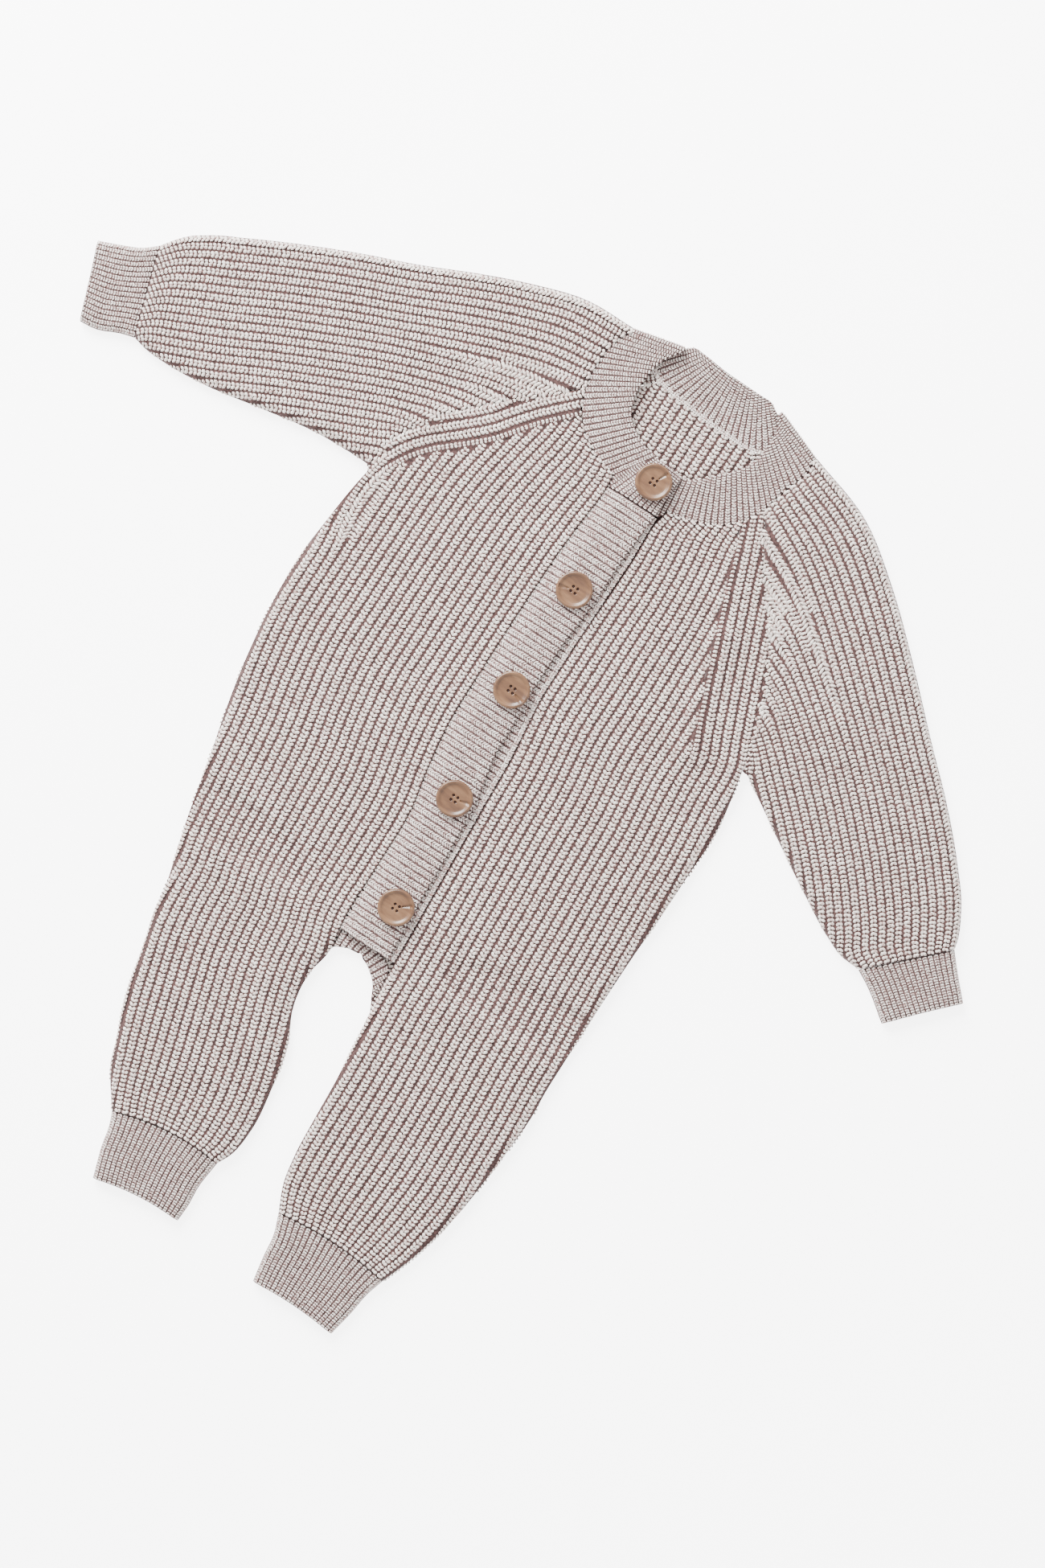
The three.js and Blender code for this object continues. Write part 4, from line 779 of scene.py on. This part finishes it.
def tube_piece(name, sections, ribs, heights, sizes, materials, slot):
    """A flattened tube. Each section has its upper side, its start and end, and its underside."""
    edge, top_height, wall, floor = heights
    size, under_size = sizes
    rows = []
    for top, tip, under in sections:
        below = np.zeros((len(under) - 2, 5))
        below[:, :2] = under[1:-1]
        below[:, 2] = INSIDE
        rows.append(np.column_stack([np.vstack([top, below]), np.tile(tip, (len(top) + len(below), 1))]))
    fine = smooth_rows(np.array(rows), ROW_STEP)
    n = 2 * ribs + 1
    past, way = fine[..., 2], fine[..., 3:5]
    xy = fine[..., :2] - way * np.maximum(past, 0)[..., None]
    start, end = xy[:, :1], fine[:, :1, 5:7]
    reach = np.minimum(flat(xy - start), flat(xy - end))
    is_top = np.arange(xy.shape[1]) < n
    fold = np.maximum(fold_height(xy), -0.4)
    z_top = edge + (top_height - edge + fold) * roll(reach)
    z_under = edge - (edge - UNDER_FACE) * roll(reach * 1.6)
    base = np.dstack([xy, np.where(is_top, z_top, z_under)])
    sign = np.where(is_top, 1.0, -1.0)
    crest = every_other(past.shape) * (past < 0) * roll(reach)
    base, crest = (np.concatenate([grid, grid[:, :1]], 1) for grid in (base, crest))
    raised, wide = ribbed(base, crest, np.append(sign, 1.0))
    inward = (start + end) / 2 - xy
    inward = inward / np.maximum(flat(inward), 1e-3)[..., None]
    inset = xy + inward * np.clip(TUBE_INSET - reach, 0, None)[..., None]
    hollow = edge + np.maximum(top_height - wall - edge + fold, 0.2) * roll(np.maximum(reach - TUBE_INSET, 0))
    inner = np.dstack([inset, np.where(is_top, hollow, np.minimum(floor, hollow - 0.1))])[:, ::4]
    cloth = shell("cloth_" + name, wide[:, :-1], inner, materials[0], closed=True)
    placed = wrapped(raised[:, :n], past[:, :n], way[:, :n])
    seen = past[:, :n]
    if name.startswith("sleeve"):
        run = np.where(np.arange(n) > 2 * NECK_SIDE_RIBS, UNDER_SEAM, 0.6)
        placed, seen = led_on(placed, run, run * 0.2), edge_twice(seen)
    stitches = Stitches()
    stitches.field(placed, seen, size)
    stitches.field(raised[:, n - 1:], np.full(past[:, n - 1:].shape, INSIDE), under_size, face=-1)
    done = stitches.piece("stitches_" + name, materials[1], slot)
    cloth_piece(name)


def tube_row(row, ribs, pitch, bow=0.0):
    """A section of a tube: its upper side, its end and its underside, from the end back to the start."""
    start, end = np.array(row[:2], float), np.array(row[2:4], float)
    width = np.linalg.norm(end - start)
    reach = np.arange(2 * ribs + 1) / 2 * pitch

    def curve(t):
        bend = np.stack([0 * t, bow * 4 * np.minimum(t, 1) * (1 - np.minimum(t, 1))], 1)
        return start + (end - start) * t[:, None] + bend

    way = np.tile((end - start) / width, (len(reach), 1))
    top = np.column_stack([curve(reach / width), reach - width, way])
    return top, end, curve(np.linspace(1, 0, 2 * ribs + 1))


def armhole(fold, layer, back_seam, front_raglan, back_raglan, seam_ribs, side):
    """The first section of a sleeve: along the neckband and the front's raglan seam, and back underneath."""
    corner = fold["seam"] - fold["run"] * SEAM
    tip = corner + fold["outward"] * ((BAND_SEAM_MID - FINE_WALL / 2) / 2 + FINE_WALL / 2)
    seam_line = offset(along(front_raglan, RAGLAN_ROWS)[::-1], side * SEAM)
    beside = offset(layer, side * SEAM)[1:]
    beside = beside[beside[:, 1] > seam_line[0, 1] + 2]
    neck_side = np.vstack([tip, corner, beside, seam_line[:1]])
    back = offset(along(back_raglan, BACK_RAGLAN_ROWS)[::-1], -side * SEAM)
    behind = offset(back_seam, -2 * side * SEAM)
    behind = behind[side * (behind[:, 0] - back_raglan[0][0]) > 2][:-1]
    under = respace(np.vstack([back, behind, corner, tip]), 2 * SLEEVE_RIBS)
    run = lengths(neck_side)
    places = np.vstack([neck_side, seam_line[1:]])
    ribs = np.concatenate([run / run[-1] * NECK_SIDE_RIBS, seam_ribs])
    half = np.arange(2 * SLEEVE_RIBS + 1) / 2
    top = at_run(places, ribs, half)
    way = (places[-1] - places[-2]) / np.linalg.norm(places[-1] - places[-2])
    past = np.maximum(half - ribs[-1], 0) * SLEEVE_RIB
    past[half <= ribs[-1] - 0.5] = -5
    top += way * np.maximum(past, 0)[:, None]
    return np.column_stack([top, past, np.tile(way, (len(top), 1))]), places[-1], under


def sleeve(name, rows, hole, shoulder):
    straight = [tube_row(row, SLEEVE_RIBS, row[4]) for row in rows]
    top, tip, under = hole
    edge = along([top[0, :2], *shoulder], SHOULDER_STEPS + 1)
    sections = [hole]
    fade = np.linspace(1, 0, len(top))[:, None] ** 2
    for i in range(1, SHOULDER_STEPS + 1):
        t = i / (SHOULDER_STEPS + 1)
        shift = edge[i] - lerp(top[0, :2], straight[0][0][0, :2], t)
        upper = lerp(top, straight[0][0], t)
        upper[:, :2] += shift * fade
        lower = lerp(under, straight[0][2], t) + shift * fade[::-1]
        sections.append((upper, lerp(tip, straight[0][1], t), lower))
    tube_piece(name, sections + straight, SLEEVE_RIBS, SLEEVE_HEIGHTS, (STITCH, BACK_STITCH), (SHADED_GROUND, YARN),
               "knit")


def cuff(name, ribs, rows):
    sections = []
    for row in rows:
        width = math.hypot(row[2] - row[0], row[3] - row[1])
        sections.append(tube_row(row, ribs, width / ribs, row[4]))
    tube_piece(name, sections, ribs, CUFF_HEIGHTS, (FINE_STITCH, FINE_BACK_STITCH), (SHADED_FINE_GROUND, FINE_YARN),
               "fine_knit")


# Back panel

def side_at(rows, y):
    """The side of a half of the body at a height."""
    heights = [row[3] for row in rows]
    return np.array([np.interp(y, heights, [row[2] for row in rows]), y])


def back_rows(rows, arch, raglan, ribs):
    """Rows of one half of the back from the ankle to the neck, with a half rib at each column."""
    lines = []

    def row(inner, outer, bow=0.0, curve=None, pitch=BODY_RIB):
        inner, outer = np.array(inner, float), np.array(outer, float)
        width = np.linalg.norm(outer - inner)
        way = (outer - inner) / width
        reach = np.arange(2 * ribs + 1) / 2 * pitch
        t = np.minimum(reach / width, 1)
        at = inner + way * reach[:, None]
        at[:, 1] += bow * 4 * t * (1 - t)
        if curve is not None:
            at[:, 1] += curve(inner[0] + (outer[0] - inner[0]) * t) - lerp(inner[1], outer[1], t)
        return np.column_stack([at, reach - width, np.tile(way, (len(reach), 1))])

    for ix, iy, ox, oy, pitch, bow, _ in rows[:6]:
        lines.append(row((ix, iy), (ox, oy), bow, pitch=pitch))
    lines.append(row(rows[6][:2], rows[6][2:4]))
    for p in arch:
        lines.append(row(p, side_at(rows, p[1])))
    for y in BACK_LEVELS:
        lines.append(row((BACK_MIDDLE, y), side_at(rows, y)))
    neck = NECK["back", "seam"][np.argsort(NECK["back", "seam"][:, 0])]

    def height(x):
        return np.interp(x, neck[:, 0], neck[:, 1]) - 1.2 * SEAM

    top = height(BACK_MIDDLE)
    for i, side in enumerate(along(raglan, BACK_RAGLAN_ROWS)[:0:-1]):
        lines.append(row((BACK_MIDDLE, lerp(UNDERARM, top, i / BACK_RAGLAN_ROWS)), side))
    lines.append(row((BACK_MIDDLE, top), (raglan[0][0], height(raglan[0][0])), curve=height))
    return np.array(lines)


def back_panel():
    right_arch = [[-16.8, -157], [-16.8, -153], [-10, -149.6], [-2, -148.1]]
    left_arch = [[16.2, -166], [11.6, -157.6], [5, -152], [-2, -148.1]]
    stitches = Stitches()
    grids = []
    for side, rows, arch, raglan in ((-1, RIGHT_ROWS, right_arch, BACK_RIGHT_RAGLAN),
                                     (1, LEFT_ROWS, left_arch, BACK_LEFT_RAGLAN)):
        fine = smooth_rows(back_rows(rows, arch, raglan, BACK_RIBS), ROW_STEP)
        past, way = fine[..., 2], fine[..., 3:5]
        xy = fine[..., :2] - way * np.maximum(past, 0)[..., None]
        crest = SHELL_RIB * every_other(past.shape) * (past < 0)
        low = np.dstack([xy, UNDER_FACE - crest])
        high = np.dstack([xy, BACK_WALL - 0.5 + crest])
        stitches.field(low, past, BACK_STITCH, face=-1)
        stitches.field(high, np.where(xy[..., 1] > NECK_VIEW, past, OUTSIDE), STITCH)
        grids.append((low, high, side < 0))
    for side, raglan in ((-1, BACK_RIGHT_RAGLAN), (1, BACK_LEFT_RAGLAN)):
        line = along(raglan[:2], 12)
        for away in NECK_CORNER_CHAINS:
            stitches.chain(offset(line, side * away), 2.2, 1.7, STITCH)
    for away in CROTCH_CHAINS:
        stitches.chain(along([CROTCH_CORNERS[0][0], *CROTCH_TOP], 24) + [0, away], 2.2, 1.6, STITCH)
    for corner in CROTCH_CORNERS:
        stitches.chain(along(corner, 8), 2.7, 1.3, STITCH)
    cloth = slab("cloth_back", grids, SHADED_GROUND)
    done = stitches.piece("stitches_back", YARN, "knit")
    cloth_piece("back")


def slab(name, grids, material):
    """One wall from halves that meet along a line: each has its lower and its upper grid."""
    faces = {"low": Faces(), "high": Faces()}
    for low, high, flip in grids:
        faces["low"].grid(low, flip=not flip)
        faces["high"].grid(high, flip=flip)
    low, high = np.vstack(faces["low"].points), np.vstack(faces["high"].points)
    _, first, same = np.unique(np.round(low[:, :2], 2), axis=0, return_index=True, return_inverse=True)
    tris = [first[same.ravel()][np.vstack(faces[face].tris)] for face in ("low", "high")]
    under, over = (t[(t[:, 0] != t[:, 1]) & (t[:, 1] != t[:, 2]) & (t[:, 2] != t[:, 0])] for t in tris)
    edges = np.vstack([over[:, [0, 1]], over[:, [1, 2]], over[:, [2, 0]]]).tolist()
    there = {tuple(e) for e in edges}
    start, end = np.array([e for e in edges if (e[1], e[0]) not in there]).T
    n = len(low)
    walls = np.vstack([np.column_stack([end + n, start + n, start]), np.column_stack([end + n, start, end])])
    return make(name, np.vstack([low, high]), np.vstack([under, over + n, walls]), material)


# Fine bands

def neckband_stations():
    """Half ribs from end to end: seam point, free point, the way out, crest or not; and where the back begins
    and ends."""
    stations = []

    def layer(which, normal, seam_z, free_z):
        pairs = zip(NECK[which, "seam"], NECK[which, "free"])
        return [(np.append(s, seam_z), np.append(f, free_z), normal, i % 2) for i, (s, f) in enumerate(pairs)]

    def turn(fold):
        rows = []
        for i in range(1, 8):
            angle = math.pi * i / 8
            normal = np.append(fold["outward"] * math.sin(angle), math.cos(angle))
            places = []
            for edge, high in (("seam", BAND_SEAM_MID), ("free", BAND_FREE_MID)):
                radius = (high - BAND_BACK_MID) / 2
                at = fold[edge] + fold["outward"] * radius * math.sin(angle)
                places.append(np.append(at, (high + BAND_BACK_MID) / 2 + radius * math.cos(angle)))
            rows.append((*places, normal, i % 2))
        return rows

    for i in range(NECK_UNDER["half_ribs"] + 1):
        t = i / NECK_UNDER["half_ribs"]
        x = lerp(NECK_UNDER["left"], NECK_UNDER["right"], t)
        seam = np.array([x, NECK_UNDER["seam_y"], BAND_SEAM_MID])
        free = np.array([x - NECK_UNDER["narrows"] * t, NECK_UNDER["free_y"], BAND_SEAM_MID])
        stations.append((seam, free, UP, i % 2))
    stations.append((np.array([5.2, 136.2, BAND_SEAM_MID]), np.array([2.6, 159, BAND_SEAM_MID + 0.6]), UP, 1))
    stations += layer("left", UP, BAND_SEAM_MID, BAND_FREE_MID)[::-1] + turn(LEFT_FOLD)
    back = len(stations)
    stations += layer("back", -UP, BAND_BACK_MID, BAND_BACK_MID)
    back_end = len(stations)
    stations += turn(RIGHT_FOLD)[::-1] + layer("right", UP, BAND_SEAM_MID, BAND_FREE_MID)
    last_seam, last_free = stations[-1][:2]
    corner_x, corner_y = NECK_OVER["corner"]
    for i in range(1, 5):
        t = i / 4
        seam = np.array([lerp(last_seam[0], corner_x, t), lerp(last_seam[1], corner_y, t), BAND_SEAM_MID])
        free = np.append(last_free[:2] + np.array([0.12, -0.06]) * i, BAND_FREE_MID)
        stations.append((seam, free, UP, i % 2))
    free_x, free_y = NECK_OVER["free"]
    for i in range(1, 2 * NECK_RIBS["end"] + 1):
        t = i / (2 * NECK_RIBS["end"])
        rise = BAND_LAP * eased(min(t / 0.35, 1))
        seam = np.array([lerp(corner_x, NECK_OVER["seam_x"], t), corner_y, BAND_SEAM_MID + rise])
        free = np.array([lerp(free_x, NECK_OVER["free_x"], t), free_y - NECK_OVER["drop"] * t,
                         BAND_FREE_MID + rise * 0.7])
        stations.append((seam, free, UP, i % 2))
    return stations, back, back_end


def neckband():
    stations, back, back_end = neckband_stations()
    seam, free, normal, crest = (np.array([s[k] for s in stations], float) for k in range(4))
    t = np.linspace(0, 1, NECK_HEIGHTS)[:, None, None]
    middle = seam + (free - seam) * t
    rounding = 0.3 * (1 - np.sqrt(np.clip(1 - np.clip((t - 0.8) / 0.2, 0, 1) ** 2, 0, 1)))
    half = NECK_HALF_WALL - rounding
    outer, inner = middle + normal * half, middle - normal * half
    crests = np.repeat(crest[None], NECK_HEIGHTS, 0)
    outer = outer + normal[None] * (crests * FINE_RIB)[..., None]
    stitches = Stitches()
    stitches.ribs(outer, crests, FINE_STITCH, normal[None])
    inside = np.zeros(crests.shape)
    inside[:, back:back_end] = crests[:, back:back_end]
    stitches.ribs(inner - normal[None] * (inside * FINE_RIB)[..., None], inside, FINE_STITCH, -normal[None])
    stitches.chain(NECK["back", "seam"][2:-2:2], BACK_ROLL["height"], BACK_ROLL["half"], FINE_STITCH)
    done = stitches.piece("stitches_neckband", FINE_YARN, "fine_knit")
    cloth = shell("cloth_neckband", outer, inner, SHADED_FINE_GROUND)
    cloth_piece("neckband")


def placket(name, left, right, over, columns):
    """A straight band with its ribs across it. One that lies over the other steps up beside its left edge."""
    x = lerp(left, right, np.linspace(0, 1, columns)[:, None])
    y = np.tile(BAND_LEVELS, (columns, 1))
    z = FRONT_BASE + LAYER_LIFT + over * eased(np.clip((x - left) / STEP_REACH, 0, 1))
    edge = np.clip(np.minimum(x - left, right - x) / 2, 0, 1)
    round_off = 0.5 * (1 - np.sqrt(1 - (1 - edge) ** 2))
    crests = every_other(x.shape).astype(float)
    low = np.dstack([x, y, z + round_off])
    raised = np.dstack([x, y, z + FINE_WALL - round_off + FINE_RIB * crests])
    stitches = Stitches()
    if over:
        stitches.ribs(led_on(raised, 0.7, 0.5), edge_twice(crests), FINE_STITCH, UP)
    else:
        stitches.ribs(raised, crests, FINE_STITCH, UP)
        stitches.chain(np.stack([right - UNDER_EDGE, BAND_LEVELS], 1)[::2], UNDER_CHAIN_HEIGHT, UNDER_EDGE,
                       FINE_STITCH)
    done = stitches.piece("stitches_" + name, FINE_YARN, "fine_knit")
    cloth = shell("cloth_" + name, raised, low[:, ::4], SHADED_FINE_GROUND)
    cloth_piece(name)


def crotch_band():
    low = along(CROTCH_ARCH, 2 * CROTCH_RIBS)
    high = along(CROTCH_TOP, 2 * CROTCH_RIBS) + [0, CROTCH_HIDDEN]
    t = np.linspace(0, 1, 5)[:, None, None]
    xy = low + (high - low) * t
    crest = every_other(xy.shape)
    raised = np.dstack([xy, FRONT_BASE + 1.1 + 0.25 * crest - 0.4 * t[..., 0]])
    below = np.dstack([xy, np.full(xy.shape[:2], FRONT_BASE)])
    cloth = shell("cloth_crotch_band", raised, below, SHADED_FINE_GROUND)
    stitches = Stitches()
    stitches.ribs(raised, crest, FINE_STITCH, UP)
    done = stitches.piece("stitches_crotch_band", FINE_YARN, "fine_knit")
    cloth_piece("crotch_band")


front_panel("front_right", RIGHT_ROWS, RIGHT_FRONT, NECK["right", "seam"])
front_panel("front_left", LEFT_ROWS, LEFT_FRONT, NECK["left", "seam"])
right_armhole = armhole(RIGHT_FOLD, NECK["right", "seam"], NECK["back", "seam"], RIGHT_FRONT["raglan"],
                        BACK_RIGHT_RAGLAN, RIGHT_SEAM_RIBS, -1)
left_armhole = armhole(LEFT_FOLD, NECK["left", "seam"], NECK["back", "seam"][::-1], LEFT_FRONT["raglan"],
                       BACK_LEFT_RAGLAN, LEFT_SEAM_RIBS, 1)
sleeve("sleeve_right", RIGHT_SLEEVE_ROWS, right_armhole, RIGHT_SHOULDER)
sleeve("sleeve_left", LEFT_SLEEVE_ROWS, left_armhole, LEFT_SHOULDER)
for cuff_name, (cuff_ribs, cuff_rows) in CUFFS.items():
    cuff(cuff_name, cuff_ribs, cuff_rows)
neckband()
band_left, band_right, band_under = (np.interp(BAND_LEVELS, BAND_ROWS[:, 0], BAND_ROWS[:, k])
                                     for k in (1, 2, 3))
placket("placket_top", band_left, band_right, BAND_LAP, 11)
placket("placket_under", band_left + UNDER_BAND_LEFT, band_under, 0, 7)
crotch_band()
back_panel()


# Buttons

def button_height(x, y, groove):
    """Height of a button's upper face: a hollow middle in a raised rim, four holes and a tapered groove."""
    height = np.interp(np.hypot(x, y), *BUTTON_FACE.T)
    for angle in HOLE_TURNS:
        d = np.hypot(x - HOLE_SPREAD * math.cos(angle), y - HOLE_SPREAD * math.sin(angle))
        height = height - HOLE["depth"] * np.clip((HOLE["radius"] - d) / HOLE["edge"], 0, 1)
    c, s = math.cos(math.radians(groove)), math.sin(math.radians(groove))
    u, v = x * c + y * s, y * c - x * s
    half = np.interp(u, (GROOVE["start"], GROOVE["wide_at"]), GROOVE["half"])
    inside = (np.clip((half - np.abs(v)) / GROOVE["edge"], 0, 1) * np.clip((u - GROOVE["start"]) / 0.4, 0, 1)
              * np.clip((GROOVE["end"] - u) / 0.5, 0, 1))
    return height - GROOVE["depth"] * inside


def button(index, x, y, groove):
    rings = np.concatenate([np.linspace(0.15, 7, 36), np.linspace(7.15, 9.9, 18), [10]])
    angles = np.linspace(0, 2 * math.pi, BUTTON_SIDES + 1)[:-1]
    px, py = rings[:, None] * np.cos(angles), rings[:, None] * np.sin(angles)
    top = np.dstack([px, py, button_height(px, py, groove)])
    rim = top[-1]
    side = np.array([np.column_stack([rim[:, :2] * k, np.full(len(angles), h)]) for k, h in BUTTON_EDGE])
    faces = Faces()
    index_top = faces.grid(np.concatenate([top, side]), closed=True)
    middle = faces.add([[0, 0, top[0, :, 2].mean()], [0, 0, 0]])
    first, last = index_top[0], index_top[-1]
    faces.tris.append(np.column_stack([np.full(BUTTON_SIDES, middle), first, np.roll(first, -1)]))
    faces.tris.append(np.column_stack([np.full(BUTTON_SIDES, middle + 1), np.roll(last, -1), last]))
    seat = BUTTON_SEAT + (NECK_BUTTON_LIFT if index == 1 else 0)
    points = np.vstack(faces.points) + [x, y, seat]
    piece = make(f"horn_button_{index}", points, np.vstack(faces.tris), HORN)
    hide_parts(f"button_{index}")
    thread_with_hole_shade(index, x, y, seat)


def thread_with_hole_shade(index, x, y, seat):
    """Thread that stands in the holes, coloured near-black as painted shade in the holes."""
    faces = Faces()
    turns = np.linspace(0, 2 * math.pi, 13)[:-1]
    for angle in HOLE_TURNS:
        middle = np.array([HOLE_SPREAD * math.cos(angle), HOLE_SPREAD * math.sin(angle), 0])
        rings = [middle + np.column_stack([r * np.cos(turns), r * np.sin(turns), np.full(len(turns), z)])
                 for r, z in THREAD_RINGS]
        faces.grid(np.array(rings), closed=True)
    make(f"thread_{index}", np.vstack(faces.points) + [x, y, seat], np.vstack(faces.tris), THREAD_HOLE_SHADE)


def horn():
    """Pale brown horn with darker streaks."""
    material, tree, bsdf, where = surface("horn", 0.38, Coat_Weight=0.25, Coat_Roughness=0.25)
    stretch = node(tree, "ShaderNodeMapping")
    stretch.inputs["Rotation"].default_value = (0, 0, 0.7)
    stretch.inputs["Scale"].default_value = (60.0, 260.0, 120.0)
    tree.links.new(where, stretch.inputs["Vector"])
    streak = noise(tree, stretch.outputs["Vector"], 1.0, 4.0, 0.6)
    cloud = noise(tree, where, 120.0, 3.0)
    base = ramp(tree, streak, [(0.3, (0.06, 0.022, 0.007)), (0.48, (0.107, 0.045, 0.015)),
                               (0.7, (0.163, 0.08, 0.033))])
    shade = ramp(tree, cloud, [(0.3, (0.86, 0.82, 0.78)), (0.7, (1, 1, 1))])
    tree.links.new(blend_colours(tree, 1.0, base, shade, "MULTIPLY"), bsdf.inputs["Base Color"])
    bump(tree, bsdf, streak, 0.15, 0.0002)
    return material


HORN = horn()
# Painted shade: the thread in the button holes is near-black so that the holes read as dark
THREAD_HOLE_SHADE = surface("thread_with_hole_shade", 0.9, Base_Color=(0.03, 0.01, 0.009, 1))[0]
for number, (bx, by, turn) in enumerate(BUTTONS, 1):
    button(number, bx, by, turn)


# Floor, light and camera, in metres

WHITE = (1, 1, 1, 1)
FLOOR_GLOW = 4.5
WORLD_LIGHT = 1.95
KEY = {"place": (-1.5, 1.1, 1.05), "size": 1.3, "power": 215}
AIM = (0.02, 0.03, 0)
LEAN = math.radians(33)
DISTANCE = 1.5
FRAME_HEIGHT = 0.8385
SENSOR = 36
VIEW_MIDDLE = (21.17, -24.7)

bpy.ops.mesh.primitive_plane_add(size=6, location=(0, 0, 0))
floor = bpy.context.object
floor.name = "floor"
floor_material, floor_tree, floor_bsdf, floor_where = surface("floor", 0.9)
floor_pale = ramp(floor_tree, noise(floor_tree, floor_where, 3.0),
                  [(0, (0.96, 0.96, 0.96)), (1, (0.97, 0.97, 0.97))])
floor_tree.links.new(floor_pale, floor_bsdf.inputs["Base Color"])
floor_bsdf.inputs["Emission Color"].default_value = WHITE
floor_bsdf.inputs["Emission Strength"].default_value = FLOOR_GLOW
floor.data.materials.append(floor_material)

world = bpy.data.worlds.new("world")
bpy.context.scene.world = world
world.use_nodes = True
world.node_tree.nodes["Background"].inputs["Color"].default_value = WHITE
world.node_tree.nodes["Background"].inputs["Strength"].default_value = WORLD_LIGHT

key_light = bpy.data.lights.new("key", "AREA")
key_light.size = KEY["size"]
key_light.energy = KEY["power"]
key = bpy.data.objects.new("key", key_light)
key.location = KEY["place"]
key.rotation_euler = Vector(np.subtract(AIM, KEY["place"])).to_track_quat("-Z", "Y").to_euler()
bpy.context.scene.collection.objects.link(key)

camera_data = bpy.data.cameras.new("camera")
camera_data.sensor_width = SENSOR
camera_data.lens = SENSOR * DISTANCE / FRAME_HEIGHT
camera = bpy.data.objects.new("camera", camera_data)
camera.location = ((VIEW_MIDDLE[0] + PLACE[0]) * MM, (VIEW_MIDDLE[1] + PLACE[1]) * MM, DISTANCE + 0.005)
camera.rotation_euler = (0, 0, LEAN)
bpy.context.scene.collection.objects.link(camera)
bpy.context.scene.camera = camera
